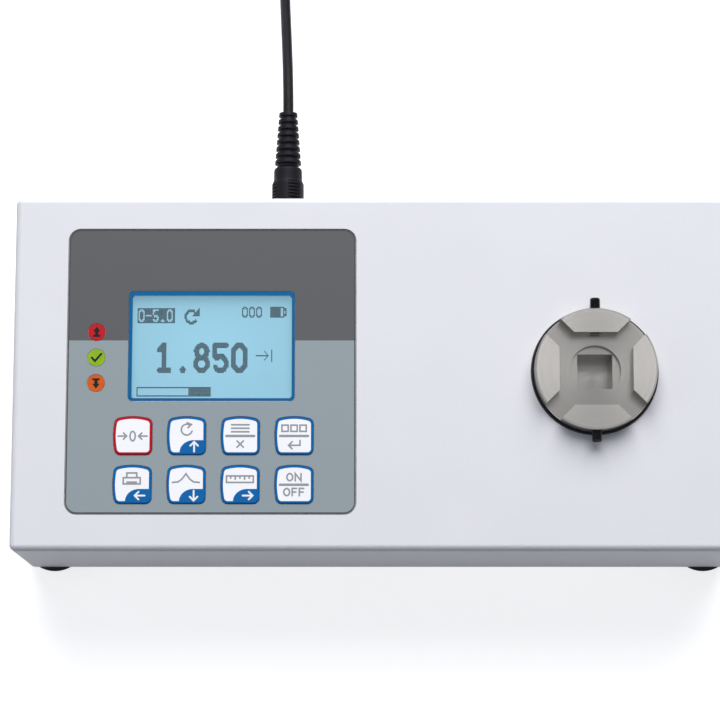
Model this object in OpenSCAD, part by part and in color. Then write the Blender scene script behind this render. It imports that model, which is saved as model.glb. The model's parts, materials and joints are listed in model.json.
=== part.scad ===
// Bench torque tester: a flat sheet-steel case with a membrane panel and display on the left,
// and a square-drive head on a strain-gauge transducer on the right.
// Millimetres. +X runs along the long side, -Y is the side that faces the user, +Z is up.
// The origin is on the table under the middle of the case and of what stands behind it.

/* [Case] */
// Length of the case, left to right
case_l = 270.4; // [225:0.1:330]
// Depth of the case, front to rear
case_w = 132; // [126:1:180]
// Height of the case without its feet
case_h = 60; // [58:1:90]
// Thickness of the side walls
side_wall = 2; // [1.5:0.1:2.6]
// Thickness of the top, which carries the panel and the head opening
top_wall = 2.5; // [2.2:0.1:3.5]
// Radius of the outer edges and corners
edge_r = 2.4; // [1.5:0.1:3.5]
// Thickness of the base plate
base_t = 5; // [4:0.5:8]

/* [Feet] */
// Diameter of a rubber foot
foot_d = 24; // [18:1:28]
// Height of a rubber foot
foot_h = 8; // [6:0.5:14]
// Centre of a foot in from the end of the case
foot_inset_x = 10; // [10:0.5:24]
// Centre of a foot in from the front or rear of the case
foot_inset_y = 10.3; // [10:0.1:20]

/* [Panel] */
// Width of the membrane panel
panel_w = 106; // [104:1:112]
// Depth of the membrane panel
panel_h = 106; // [104:1:116]
// Corner radius of the panel
panel_r = 4.2; // [2:0.1:8]
// Centre of the panel from the left end of the case
panel_in = 73.2; // [60:0.1:90]
// Centre of the panel across the case
panel_y = 0.6; // [-4:0.1:4]
// Thickness of the printed overlay
overlay_t = 0.55; // [0.4:0.05:0.7]
// Thickness of the spacer layer
spacer_t = 0.6; // [0.5:0.05:0.7]
// Thickness of the circuit layer
circuit_t = 0.25; // [0.15:0.05:0.3]

/* [Keys] */
// Width and depth of a key
key_w = 14.2; // [12:0.1:15.5]
// Distance between two keys of a row
key_pitch_x = 19.7; // [17.5:0.1:21]
// Distance between the two rows
key_pitch_y = 18; // [17:0.1:19]
// Height of a key above the overlay
key_rise = 0.45; // [0.3:0.05:0.8]
// How far a key goes down
key_travel = 0.3; // [0.2:0.05:0.35]

/* [Display] */
// Width of the display window
window_w = 61.2; // [56:0.2:66]
// Depth of the display window
window_h = 41.1; // [38:0.1:43]
// Width of the liquid-crystal glass
glass_w = 64; // [60:0.5:68]
// Depth of the liquid-crystal glass
glass_h = 43; // [41:0.5:46]
// Thickness of the liquid-crystal glass
glass_t = 2.8; // [2:0.1:3.5]

/* [Indicators] */
// Diameter of an indicator lens
lamp_d = 6.4; // [5:0.1:7.5]
// Distance between two indicators
lamp_pitch = 9.5; // [8.5:0.1:11]

/* [Drive head] */
// Centre of the head from the right end of the case
head_in = 56.2; // [46:0.1:66]
// Diameter of the head
head_d = 45; // [42:0.5:50]
// How far the head stands above the case
head_rise = 8; // [6:0.5:12]
// Width of the square recess in the top of the head
recess_w = 27; // [24:0.5:29]
// Depth of the recess and of its corner channels
recess_d = 5.5; // [5:0.1:6.5]
// Width of the corner channels
channel_w = 7.8; // [6:0.1:9]
// Width of the square drive hole
square_w = 12.9; // [12.8:0.05:13.2]
// Depth of the square drive hole below the counterbore
square_d = 12; // [10:0.5:13]
// Diameter of the round counterbore over the square
counterbore_d = 19; // [18.8:0.1:22]

/* [Clamp screws] */
// Thread diameter of a clamp screw
clamp_d = 4; // [3:0.5:4.5]
// How far a clamp screw stands out of the head
clamp_out = 4.1; // [3:0.1:6]

/* [Transducer] */
// Diameter of the transducer's lower flange
flange_d = 70; // [66:1:84]
// Thickness of the lower flange
flange_t = 8; // [6:0.5:10]
// Outer diameter of the measuring column
column_d = 32; // [28:1:34]
// Wall of the measuring column
column_wall = 3; // [2:0.25:4]
// Diameter of the bolts through the lower flange
flange_bolt_d = 6; // [5:0.5:7]

/* [Rear connectors] */
// Centre of the power socket along the case
jack_x = -35; // [-50:1:-20]
// Height of the rear connectors above the case bottom
port_z = 30; // [28:1:36]
// Centre of the data port along the case
data_x = 25; // [15:1:34]

/* [Boards and battery] */
// Width of the main board
board_w = 96; // [90:1:100]
// Depth of the main board
board_h = 84; // [80:1:94]
// Thickness of the circuit boards
pcb_t = 1.6; // [1.2:0.1:2]
// Diameter of a battery cell
cell_d = 14.2; // [13.8:0.1:14.5]
// Length of a battery cell
cell_l = 50; // [48:0.5:51]

/* [Plug and power lead] */
// Diameter of the plug's grip
grip_d = 12.2; // [11.4:0.1:14]
// Length of the plug's moulded body
plug_l = 17.2; // [16:0.1:20]
// Length of the ribbed strain relief
relief_l = 21.6; // [18:0.1:26]
// Diameter of the power lead
lead_d = 4; // [3.6:0.1:4.2]
// Turns in one layer of the coil
layer_turns = 4.375; // [3.375:1:5.375]
// Middle diameter of the coil's turns
coil_mid_d = 46; // [46:1:50]
// Length of the mains adapter's body
adapter_l = 62; // [56:1:70]
// Width of the mains adapter's body
adapter_w = 44; // [40:1:50]
// Height of the mains adapter's body
adapter_h = 30; // [28:1:36]

/* [Hidden] */

$fn = 48;
overrun = 1;
fit_gap = 0.15;
thread_gap = 0.05;
hull_sides = 32;
half_share = 0.5;

// Heights above the table, from the feet up.
base_z = foot_h;
floor_z = base_z + base_t;
top_z = base_z + case_h;
under_z = top_z - top_wall;

// The feet reach out a little in front and the lock posts behind; the origin lies midway.
post_rise = 5;
foot_overhang = max(0, foot_d / 2 - foot_inset_y);
case_y = (foot_overhang - post_rise) / 2;
rear_y = case_y + case_w / 2;

// Machine screws.
m3_d = 3;
m3_head_d = 5.6;
m3_head_h = 1.8;
m4_d = 4;
m4_head_d = 8;
m4_head_h = 2.6;
driver_slot_w = 0.7;
driver_slot_share = 0.6;
key_socket_share = 0.75;

// Cover joint: six tabs inside the long walls stand on the base plate.
tab_l = 16;
tab_w = 12;
tab_t = 3;
base_gap = 0.3;
tab_x = case_l / 2 - foot_inset_x - foot_d / 2 - tab_l;

// Feet.
foot_taper = 1.2;
foot_round = 1;
foot_recess_d = 10;
foot_floor_t = 3;

// Membrane stack in the recess of the top.
panel_x = panel_in - case_l / 2;
panel_cy = case_y + panel_y;
recess_gap = 0.4;
panel_depth = overlay_t + spacer_t + circuit_t;
circuit_z = top_z - panel_depth;
spacer_z = circuit_z + circuit_t;
overlay_z = spacer_z + spacer_t;

// Key grid, a little right of the panel's middle and below the window.
key_cols = 4;
key_rows = 2;
key_grid_right = 0.97;
key_grid_below = 33.3;
key_grid_x = panel_x + key_grid_right;
key_grid_y = panel_cy - key_grid_below;
key_corner_r = 2.2;
key_gap = 0.2;
key_bevel = 0.35;
key_side_radius_share = 2.1;
key_top_radius_share = 1.5;
dome_d = 8.4;
dome_h = 0.25;
dome_gap = 0.05;
dome_crown_share = 0.7;
key_bottom_z = spacer_z + dome_h + dome_gap + key_travel;
tail_w = 14;
tail_t = 0.4;
tail_margin = 2;
tail_slot_w = tail_w + 2 * tail_margin;
tail_slot_h = 2.4;
tail_y = key_grid_y - key_pitch_y / 2 - key_w / 2 - tail_slot_h / 2 - fit_gap;

// Display group, from the window down.
window_x = panel_x;
window_above = 9.1;
window_y = panel_cy + window_above;
window_r = 1.8;
window_ledge = 1.1;
bezel_gap = 0.2;
bezel_t = 0.8;
bezel_lip = 2;
bezel_z = under_z - bezel_gap;
glass_z = bezel_z - bezel_t - glass_t;
backlight_t = 3.6;
backlight_z = glass_z - backlight_t;
display_board_z = backlight_z - pcb_t;
display_board_margin = 7;
display_board_left = 49;
stud_d = 3;
stud_inset = 3.4;
nut_h = 2.4;
nut_w = 5.5;
display_board_right = glass_w / 2 + display_board_margin;
display_board_half = glass_h / 2 + display_board_margin;

// Indicators: the middle one is green.
lamps_left = 42.4;
lamps_above = 4.8;
lamp_x = panel_x - lamps_left;
lamp_y = panel_cy + lamps_above;
led_d = 3;
led_spacer_d = 4.4;
led_hole_d = 3.6;
led_top_gap = 0.3;

// Drive head, bolted to the transducer's upper flange.
head_x = case_l / 2 - head_in;
head_top_z = top_z + head_rise;
counterbore_t = 2;
head_floor_t = 4.5;
head_foot_rim = 5.5;
head_foot_d = head_d + 2 * head_foot_rim;
head_foot_t = 6;
head_t = recess_d + counterbore_t + square_d + head_floor_t;
head_z = head_top_z - head_t;
edge_chamfer = 0.6;
clamp_below_top = 3;
clamp_socket_l = 2;
clamp_socket_share = 0.5;
clamp_tip = 0.5;
seal_gap = 0.25;
seal_w = 0.6;
seal_lip_w = 0.5;
seal_lip_h = 0.5;
round_sides = 96;

// Transducer: a windowed column between two flanges.
neck_t = 6;
neck_z = head_z - neck_t;
column_z = floor_z + flange_t;
column_l = neck_z - column_z;
flange_bolt_count = 6;
flange_bolt_head_d = 10;
flange_bolt_inset = 7;
flange_bolt_ring_d = flange_d - 2 * flange_bolt_inset;
head_bolt_count = 4;
head_bolt_head_d = 7;
head_bolt_bite = 5;
head_bolt_inset = 4.5;
head_bolt_ring_d = head_foot_d - 2 * head_bolt_inset;
slot_w = 9;
slot_margin = 4;
flat_depth = 1;
gauge_w = 5;
gauge_h = 7;
gauge_t = 0.5;

// Power socket and plug.
port_cz = base_z + port_z;
jack_d = 7.8;
jack_flange_d = 11;
jack_flange_t = 1.5;
jack_l = 14;
jack_pin_d = 1.9;
jack_nut_w = 11;
jack_nut_t = 2;
jack_slot_l = 9.8;
barrel_d = 5.5;
barrel_bore_d = 2.1;
barrel_l = 9.3;
barrel_gap = 0.1;
plug_gap = 0.2;
plug_y = rear_y + jack_flange_t + plug_gap;
plug_body_d = 10.8;
plug_shoulder = 1.6;
grip_l = 12.1;
grip_front = 3;
grip_rib_pitch = 1.27;
grip_groove_w = 0.62;
grip_groove_d = 0.6;
grip_pad_w = 4.8;
grip_turn = 25;
relief_y = plug_y + plug_l;
relief_root_d = 10.3;
relief_tip_d = 7;
relief_rib_count = 8;
relief_core_share = 0.78;
relief_groove_share = 0.45;
lead_y = relief_y + relief_l;

// Data port, a nine-way sub-miniature socket with two lock posts.
data_shell_w = 17;
data_shell_h = 8.4;
data_shell_r = 2;
data_slant = 0.75;
data_shell_rise = 6;
data_shell_t = 0.5;
data_flange_w = 30.8;
data_flange_h = 12.5;
data_flange_t = 1;
data_insert_gap = 0.1;
data_insert_set = 0.4;
data_pin_d = 1.1;
data_pin_pitch = 2.77;
data_pin_row = 2.84;
data_pin_l = 5;
data_back_l = 8;
data_hole_gap = 0.4;
post_pitch = 24.99;
post_w = 5;
post_hole_d = 2.4;
post_hole_l = 4;
post_tail = 3;

// Main board on its standoffs, over the battery.
board_left_gap = 15.2;
board_x = board_left_gap + side_wall + (board_w - case_l) / 2;
board_forward = 6;
board_y = case_y - board_forward;
standoff_h = 20;
standoff_w = 6;
board_z = floor_z + standoff_h;
board_top_z = board_z + pcb_t;
board_hole_inset = 4;
board_screw_bite = 6;
chip_t = 1.6;
processor_w = 14;
chip_w = 8;
chip_d = 4;
chip_count = 3;
chip_pitch = 12;
chips_left = 40;
chips_front = 21;
can_w = 26;
can_h = 18;
can_t = 6;
capacitor_d = 8;
capacitor_h = 12;
capacitor_pitch = 12;
capacitors_left = 36;
header_h = 8.5;
header_t = 6;
header_w = 28;
socket_w = 12;
socket_d = 8;
socket_h = 7;
socket_inset = 2;

// Battery holder on the base plate, under the main board.
battery_x = board_x;
battery_y = board_y;
cell_count = 4;
cell_gap = 0.6;
cell_pole_d = 5.4;
cell_pole_l = 1;
holder_wall = 1.5;
holder_floor = 2;
holder_gap = 0.4;
holder_w = cell_count * cell_d + (cell_count - 1) * cell_gap + 2 * (holder_gap + holder_wall);
holder_l = cell_l + 2 * (holder_gap + holder_wall);
ear_w = 8;
ear_t = 2;

// Internal wiring.
ribbon_t = 0.9;
ribbon_w = 24;
cable_d = 4.5;
cable_sides = 8;
cable_steps = 10;
pair_d = 2.6;
supply_run = 18;

// The free stretch of the power lead sinks from the strain relief to the table on its way to the coil.
lead_reach = 92;
lead_drift = 3;
lead_sink_share = 0.88;
lead_steps = 18;
lead_sides = 8;

// The coil: two layers, wound in along the table and out again on top, and on to the adapter.
turn_sides = 6;
turn_rings = 24;
turn_gap = 0.5;
turn_pitch = lead_d + turn_gap;
tie_t = 0.8;
tie_w = 8;
tie_gap = 0.2;
coil_outer_r = coil_mid_d / 2 + turn_pitch * layer_turns / 2;
coil_z = tie_t + tie_gap + lead_d / 2;
coil_top_z = coil_z + turn_pitch;
coil_x = jack_x - lead_drift + coil_outer_r;
coil_y = lead_y + lead_reach + lead_d;
coil_run = 29;
coil_run_steps = 4;
climb_turns = 0.5;

// Mains adapter on the table beside the coil.
adapter_relief_l = 12;
adapter_relief_d = 8;
adapter_relief_tip_d = 6;
adapter_x = coil_x + coil_run + adapter_relief_l;
adapter_y = coil_y + coil_outer_r;
adapter_r = 4;
adapter_face_t = 2.4;
adapter_face_step = 1;
pin_d = 4;
pin_l = 19;
pin_pitch = 18.6;
pin_sleeve_l = 10;
pin_sleeve_share = 0.9;

function at_rows() = [for (r = [0 : key_rows - 1]) key_grid_y + key_pitch_y * (half_share - r)];
function at_cols() = [for (c = [0 : key_cols - 1]) key_grid_x + key_pitch_x * (c - (key_cols - 1) / 2)];

// A rectangle with round corners, from exact squares and circles.
module rounded(w, h, r) {
    square([w - 2 * r, h], center = true);
    square([w, h - 2 * r], center = true);
    for (x = [-1, 1], y = [-1, 1])
        translate([x * (w / 2 - r), y * (h / 2 - r)]) circle(r);
}

module slab(w, h, r, t) linear_extrude(t) rounded(w, h, r);

module block(w, h, t) translate([-w / 2, -h / 2, 0]) cube([w, h, t]);

module hexagon(across, t) cylinder(d = across / cos(30), h = t, $fn = 6);

// A machine screw: round head above z = 0, thread below.
module pan_screw(d, l, head_d, head_h) {
    difference() {
        cylinder(d = head_d, h = head_h);
        for (a = [0, 90])
            rotate(a)
                translate([0, 0, head_h / 2])
                    block(head_d * driver_slot_share, driver_slot_w, head_h);
    }
    translate([0, 0, -l]) cylinder(d = d, h = l);
}

// A socket-head cap screw: head above z = 0, thread below.
module cap_screw(d, l, head_d) {
    difference() {
        cylinder(d = head_d, h = d);
        translate([0, 0, d / 2]) hexagon(d * key_socket_share, d);
    }
    translate([0, 0, -l]) cylinder(d = d, h = l);
}

// A tube swept along points. No stretch is vertical, so straight up serves as its reference.
function unit(v) = v / norm(v);
function heading(p, i) = unit(p[min(i + 1, len(p) - 1)] - p[max(i - 1, 0)]);
function tube_ring(at, along, r, sides) =
    let (side = unit(cross(along, [0, 0, 1])), up = cross(side, along))
    [for (k = [0 : sides - 1])
        let (a = 360 * (k + half_share) / sides)
        at + r * (cos(a) * side + sin(a) * up)];

module tube(path, d, sides, first, last) {
    n = len(path);
    rings = [for (i = [0 : n - 1])
        each tube_ring(path[i], i == 0 ? first : i == n - 1 ? last : heading(path, i), d / 2, sides)];
    walls = [for (i = [0 : n - 2], k = [0 : sides - 1])
        let (a = i * sides + k, b = i * sides + (k + 1) % sides)
        each [[a, b + sides, b], [a, a + sides, b + sides]]];
    start_cap = [for (k = [1 : sides - 2]) [0, k, k + 1]];
    end_cap = [for (k = [1 : sides - 2]) [(n - 1) * sides, (n - 1) * sides + k + 1, (n - 1) * sides + k]];
    polyhedron(rings, concat(walls, start_cap, end_cap));
}

// A flat strip with mitred bends that follows points in the Y-Z plane, drawn across X.
function across(u) = [-u.y, u.x];
function strip_edge(points, off) = [for (i = [0 : len(points) - 1])
    let (before = max(i, 1), after = min(i, len(points) - 2),
         n1 = across(unit(points[before] - points[before - 1])),
         n2 = across(unit(points[after + 1] - points[after])),
         mitre = unit(n1 + n2))
    points[i] + mitre * off / (mitre * n1)];

module strip(points, t, w) {
    left = strip_edge(points, t / 2);
    right = strip_edge(points, -t / 2);
    rotate([90, 0, 90]) translate([0, 0, -w / 2]) linear_extrude(w)
        polygon(concat(left, [for (i = [len(right) - 1 : -1 : 0]) right[i]]));
}

// Case

module case_blank() {
    hull() for (x = [-1, 1], y = [-1, 1])
        translate([x * (case_l / 2 - edge_r), case_y + y * (case_w / 2 - edge_r), 0]) {
            translate([0, 0, top_z - edge_r]) sphere(edge_r, $fn = hull_sides);
            translate([0, 0, base_z]) cylinder(r = edge_r, h = edge_r, $fn = hull_sides);
        }
}

module at_cover_tabs() {
    for (x = [-tab_x, 0, tab_x], s = [-1, 1])
        translate([x, case_y + s * (case_w / 2 - side_wall - tab_w / 2), floor_z]) children();
}

module at_feet() {
    for (x = [-1, 1], y = [-1, 1])
        translate([x * (case_l / 2 - foot_inset_x), case_y + y * (case_w / 2 - foot_inset_y), 0]) children();
}

module at_display_studs() {
    for (x = [-display_board_left + stud_inset, display_board_right - stud_inset], s = [-1, 1])
        translate([window_x + x, window_y + s * (display_board_half - stud_inset), 0]) children();
}

module at_lamps() {
    for (i = [-1 : 1]) translate([lamp_x, lamp_y + i * lamp_pitch, 0]) children();
}

module at_rear(x) translate([x, rear_y, port_cz]) rotate([-90, 0, 0]) children();

module housing_cover() color("gainsboro") {
    difference() {
        case_blank();
        translate([0, case_y, base_z - overrun])
            block(case_l - 2 * side_wall, case_w - 2 * side_wall, case_h - top_wall + overrun);
        translate([panel_x, panel_cy, circuit_z])
            slab(panel_w + 2 * recess_gap, panel_h + 2 * recess_gap, panel_r + recess_gap,
                 panel_depth + overrun);
        translate([window_x, window_y, under_z - overrun])
            slab(window_w - 2 * window_ledge, window_h - 2 * window_ledge, window_r, top_wall);
        at_lamps() translate([0, 0, under_z - overrun]) cylinder(d = led_hole_d, h = top_wall);
        translate([key_grid_x, tail_y, under_z - overrun]) block(tail_slot_w, tail_slot_h, top_wall);
        translate([head_x, case_y, under_z - overrun])
            cylinder(d = head_d + 2 * (seal_gap + seal_w), h = top_wall + 2 * overrun, $fn = round_sides);
        at_rear(jack_x) translate([0, 0, -side_wall - overrun])
            cylinder(d = jack_d + 2 * fit_gap, h = side_wall + 2 * overrun);
        at_rear(data_x) translate([0, 0, -side_wall - overrun]) {
            linear_extrude(side_wall + 2 * overrun) data_outline(data_hole_gap);
            for (s = [-1, 1])
                translate([s * post_pitch / 2, 0, 0])
                    cylinder(d = m3_d + 2 * fit_gap, h = side_wall + 2 * overrun);
        }
    }
    at_display_studs()
        translate([0, 0, display_board_z - nut_h - fit_gap])
            cylinder(d = stud_d, h = under_z - display_board_z + nut_h + fit_gap);
    at_cover_tabs() difference() {
        block(tab_l, tab_w, tab_t);
        translate([0, 0, -overrun]) cylinder(d = m3_d + 2 * thread_gap, h = tab_t + 2 * overrun);
    }
}

module base_plate() color("silver") {
    difference() {
        translate([0, case_y, base_z])
            block(case_l - 2 * (side_wall + base_gap), case_w - 2 * (side_wall + base_gap), base_t);
        at_cover_tabs() translate([0, 0, -base_t - overrun])
            cylinder(d = m3_d + 2 * fit_gap, h = base_t + 2 * overrun);
        at_feet() translate([0, 0, base_z - overrun])
            cylinder(d = m4_d + 2 * thread_gap, h = base_t + 2 * overrun);
        at_flange_bolts() translate([0, 0, base_z - overrun])
            cylinder(d = flange_bolt_d + 2 * thread_gap, h = base_t + 2 * overrun);
        at_battery_ears() translate([0, 0, base_z - overrun])
            cylinder(d = m3_d + 2 * thread_gap, h = base_t + 2 * overrun);
    }
}

module cover_screws() color("dimgray") {
    at_cover_tabs() translate([0, 0, -base_t]) mirror([0, 0, 1])
        pan_screw(m3_d, base_t + tab_t, m3_head_d, m3_head_h);
}

module rubber_feet() color("#1c1c1e") {
    at_feet() rotate_extrude($fn = round_sides) difference() {
        union() {
            polygon([
                [0, 0], [foot_d / 2 - foot_taper - foot_round, 0],
                [foot_d / 2 - foot_taper, foot_round], [foot_d / 2, base_z], [0, base_z]
            ]);
            translate([foot_d / 2 - foot_taper - foot_round, foot_round]) circle(foot_round);
        }
        square([foot_recess_d / 2, foot_h - foot_floor_t]);
        square([m4_d / 2 + fit_gap, foot_h + overrun]);
    }
}

module foot_screws() color("dimgray") {
    at_feet() translate([0, 0, foot_h - foot_floor_t]) mirror([0, 0, 1])
        pan_screw(m4_d, foot_floor_t + base_t, m4_head_d, m4_head_h);
}

// Membrane panel

module at_keys() {
    for (y = at_rows(), x = at_cols()) translate([x, y, 0]) children();
}

// A key's outline: straight at the right and below, domed at the left and above.
module key_outline(grow) {
    w = key_w + 2 * grow;
    side_r = w * key_side_radius_share;
    top_r = w * key_top_radius_share;
    r = key_corner_r + grow;
    offset(r, $fn = 24) offset(delta = -r) intersection() {
        square(w, center = true);
        translate([side_r - w / 2, 0]) circle(side_r, $fn = 80);
        translate([0, w / 2 - top_r]) circle(top_r, $fn = 80);
    }
}

module key_cap(col, row) color("whitesmoke") {
    translate([at_cols()[col], at_rows()[row], key_bottom_z]) {
        linear_extrude(top_z + key_rise - key_bevel - key_bottom_z) key_outline(0);
        translate([0, 0, top_z + key_rise - key_bevel - key_bottom_z])
            linear_extrude(key_bevel) key_outline(-key_bevel);
    }
}

module key_zero() key_cap(0, 0);
module key_reset() key_cap(1, 0);
module key_menu() key_cap(2, 0);
module key_memory() key_cap(3, 0);
module key_print() key_cap(0, 1);
module key_mode() key_cap(1, 1);
module key_units() key_cap(2, 1);
module key_power() key_cap(3, 1);

module window_hole(z, t)
    translate([window_x, window_y, z - overrun])
        slab(window_w + 2 * fit_gap, window_h + 2 * fit_gap, window_r + fit_gap, t + 2 * overrun);

module front_overlay() color("#616264") {
    difference() {
        translate([panel_x, panel_cy, overlay_z]) slab(panel_w, panel_h, panel_r, overlay_t);
        window_hole(overlay_z, overlay_t);
        at_keys() translate([0, 0, overlay_z - overrun])
            linear_extrude(overlay_t + 2 * overrun) key_outline(key_gap);
        at_lamps() translate([0, 0, overlay_z - overrun])
            cylinder(d = lamp_d + 2 * fit_gap, h = overlay_t + 2 * overrun);
    }
}

module membrane_spacer() color("ivory") {
    difference() {
        translate([panel_x, panel_cy, spacer_z]) slab(panel_w, panel_h, panel_r, spacer_t);
        window_hole(spacer_z, spacer_t);
        at_keys() translate([0, 0, spacer_z - overrun])
            block(key_w + 4 * key_gap, key_w + 4 * key_gap, spacer_t + 2 * overrun);
        at_lamps() translate([0, 0, spacer_z - overrun])
            cylinder(d = led_spacer_d, h = spacer_t + 2 * overrun);
    }
}

module membrane_circuit() color("darkkhaki") {
    difference() {
        translate([panel_x, panel_cy, circuit_z]) slab(panel_w, panel_h, panel_r, circuit_t);
        window_hole(circuit_z, circuit_t);
        at_lamps() translate([0, 0, circuit_z - overrun])
            cylinder(d = led_spacer_d, h = circuit_t + 2 * overrun);
    }
}

// Metal snap domes: shallow caps on the circuit layer, one under each key.
module snap_domes() color("silver") {
    at_keys() translate([0, 0, spacer_z]) rotate_extrude() polygon([
        [0, 0], [dome_d / 2, 0], [dome_d / 2 * dome_crown_share, dome_h * dome_crown_share], [0, dome_h]
    ]);
}

module display_window() color("lightblue", 0.5) {
    translate([window_x, window_y, circuit_z]) slab(window_w, window_h, window_r, panel_depth);
}

module lamp(place) {
    translate([lamp_x, lamp_y + place * lamp_pitch, overlay_z]) cylinder(d = lamp_d, h = overlay_t);
}

module lamp_red() color("#de001a") lamp(1);
module lamp_green() color("#98c21d") lamp(0);
module lamp_orange() color("#e66210") lamp(-1);

// Display and indicator board

module display_board() color("darkgreen") {
    difference() {
        translate([window_x - display_board_left, window_y - display_board_half, display_board_z])
            cube([display_board_left + display_board_right, 2 * display_board_half, pcb_t]);
        at_display_studs() translate([0, 0, display_board_z - overrun])
            cylinder(d = stud_d + 2 * fit_gap, h = pcb_t + 2 * overrun);
    }
    translate([window_x, window_y, display_board_z - header_h]) block(header_w, header_t, header_h);
}

module lcd_glass() color("#98d2e6") {
    translate([window_x, window_y, glass_z]) block(glass_w, glass_h, glass_t);
}

module lcd_bezel() color("#2a2a2c") {
    outer = 2 * (bezel_gap + bezel_t);
    translate([window_x, window_y, backlight_z]) difference() {
        block(glass_w + outer, glass_h + outer, bezel_z - backlight_z);
        translate([0, 0, -overrun])
            block(glass_w + 2 * bezel_gap, glass_h + 2 * bezel_gap,
                  glass_z + glass_t - backlight_z + overrun);
        block(glass_w - 2 * bezel_lip, glass_h - 2 * bezel_lip, bezel_z - backlight_z + overrun);
    }
}

module lcd_backlight() color("white") {
    translate([window_x, window_y, backlight_z]) block(glass_w, glass_h, backlight_t);
}

// Three light-emitting diodes on spacer tubes, their domes in the holes of the cover.
module status_leds() color("mistyrose") {
    spacer_top = under_z - fit_gap;
    at_lamps() translate([0, 0, backlight_z]) {
        cylinder(d = led_spacer_d, h = spacer_top - backlight_z);
        translate([0, 0, spacer_top - backlight_z])
            cylinder(d = led_d, h = circuit_z - led_top_gap - spacer_top);
    }
}

module display_nuts() color("silver") {
    at_display_studs() translate([0, 0, display_board_z - nut_h]) difference() {
        hexagon(nut_w, nut_h);
        translate([0, 0, -overrun]) cylinder(d = stud_d + 2 * thread_gap, h = nut_h + 2 * overrun);
    }
}

// Main board

module at_board_holes() {
    out_x = board_w / 2 - board_hole_inset;
    out_y = board_h / 2 - board_hole_inset;
    for (x = [-1, 1], y = [-1, 1]) translate([board_x + x * out_x, board_y + y * out_y, 0]) children();
}

module main_board() color("darkgreen") {
    difference() {
        translate([board_x, board_y, board_z]) block(board_w, board_h, pcb_t);
        at_board_holes() translate([0, 0, board_z - overrun])
            cylinder(d = m3_d + 2 * fit_gap, h = pcb_t + 2 * overrun);
    }
}

module board_standoffs() color("silver") {
    at_board_holes() translate([0, 0, floor_z]) difference() {
        hexagon(standoff_w, standoff_h);
        translate([0, 0, standoff_h - board_screw_bite - overrun])
            cylinder(d = m3_d + 2 * thread_gap, h = board_screw_bite + 2 * overrun);
    }
}

module board_screws() color("dimgray") {
    at_board_holes() translate([0, 0, board_top_z])
        pan_screw(m3_d, pcb_t + board_screw_bite, m3_head_d, m3_head_h);
}

// Where the wiring meets the main board.
ribbon_header_inset = 14;
tail_socket_inset = 10;
sensor_socket_back = 4;
pack_socket_front = 18;
ribbon_header_y = board_y + board_h / 2 - ribbon_header_inset;
tail_socket_y = board_y - board_h / 2 + tail_socket_inset;
sensor_socket_x = board_x + board_w / 2 - socket_w / 2 - socket_inset;
sensor_socket_y = board_y + sensor_socket_back;
supply_socket_x = jack_x;
supply_socket_y = min(board_y + board_h / 2 - socket_inset, rear_y - jack_l - supply_run) - socket_d / 2;
pack_socket_y = board_y - pack_socket_front;

module board_chips() color("#26262a") {
    translate([board_x, board_y, board_top_z]) {
        translate([-can_w, -processor_w / 2, 0]) block(processor_w, processor_w, chip_t);
        translate([can_w / 2, -processor_w / 2, 0]) block(can_w, can_h, can_t);
        for (i = [0 : chip_count - 1])
            translate([i * chip_pitch - chips_left, -chips_front, 0]) block(chip_w, chip_d, chip_t);
        for (i = [1, 2])
            translate([-capacitors_left, i * capacitor_pitch, 0]) cylinder(d = capacitor_d, h = capacitor_h);
    }
    translate([window_x, ribbon_header_y, board_top_z]) block(header_w, header_t, header_h);
    translate([key_grid_x, tail_socket_y, board_top_z]) block(tail_slot_w, header_t, socket_h);
    translate([sensor_socket_x, sensor_socket_y, board_top_z]) block(socket_w, socket_d, socket_h);
    translate([sensor_socket_x, pack_socket_y, board_z - socket_h]) block(socket_w, socket_d, socket_h);
    translate([supply_socket_x, supply_socket_y, board_top_z]) block(socket_w, socket_d, socket_h);
}

// Battery

module at_battery_ears() {
    for (s = [-1, 1]) translate([battery_x, battery_y + s * (holder_l + ear_w) / 2, 0]) children();
}

module at_cells() {
    for (i = [0 : cell_count - 1])
        translate([
            battery_x + (i - (cell_count - 1) / 2) * (cell_d + cell_gap),
            battery_y,
            floor_z + holder_floor + holder_gap + cell_d / 2
        ]) children();
}

module battery_holder() color("#232326") {
    rise = holder_floor + holder_gap + cell_d;
    difference() {
        union() {
            translate([battery_x, battery_y, floor_z]) block(holder_w, holder_l, rise);
            at_battery_ears() translate([0, 0, floor_z]) block(ear_w, ear_w, ear_t);
        }
        translate([battery_x, battery_y, floor_z + holder_floor])
            block(holder_w - 2 * holder_wall, holder_l - 2 * holder_wall, rise);
        at_battery_ears() translate([0, 0, floor_z - overrun])
            cylinder(d = m3_d + 2 * fit_gap, h = ear_t + 2 * overrun);
    }
}

module battery_cells() color("steelblue") {
    can_l = cell_l - cell_pole_l;
    at_cells() rotate([90, 0, 0]) translate([0, 0, -cell_l / 2]) {
        cylinder(d = cell_d, h = can_l);
        translate([0, 0, can_l]) cylinder(d = cell_pole_d, h = cell_pole_l);
    }
}

module battery_screws() color("dimgray") {
    at_battery_ears() translate([0, 0, floor_z + ear_t])
        pan_screw(m3_d, ear_t + base_t, m3_head_d, m3_head_h);
}

// Transducer and drive head

module around_head(count, ring_d, turn) {
    translate([head_x, case_y, 0])
        for (i = [0 : count - 1]) rotate(360 * (i + turn) / count) translate([ring_d / 2, 0, 0]) children();
}

module at_flange_bolts() around_head(flange_bolt_count, flange_bolt_ring_d, half_share) children();

module at_head_bolts() around_head(head_bolt_count, head_bolt_ring_d, half_share) children();

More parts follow.
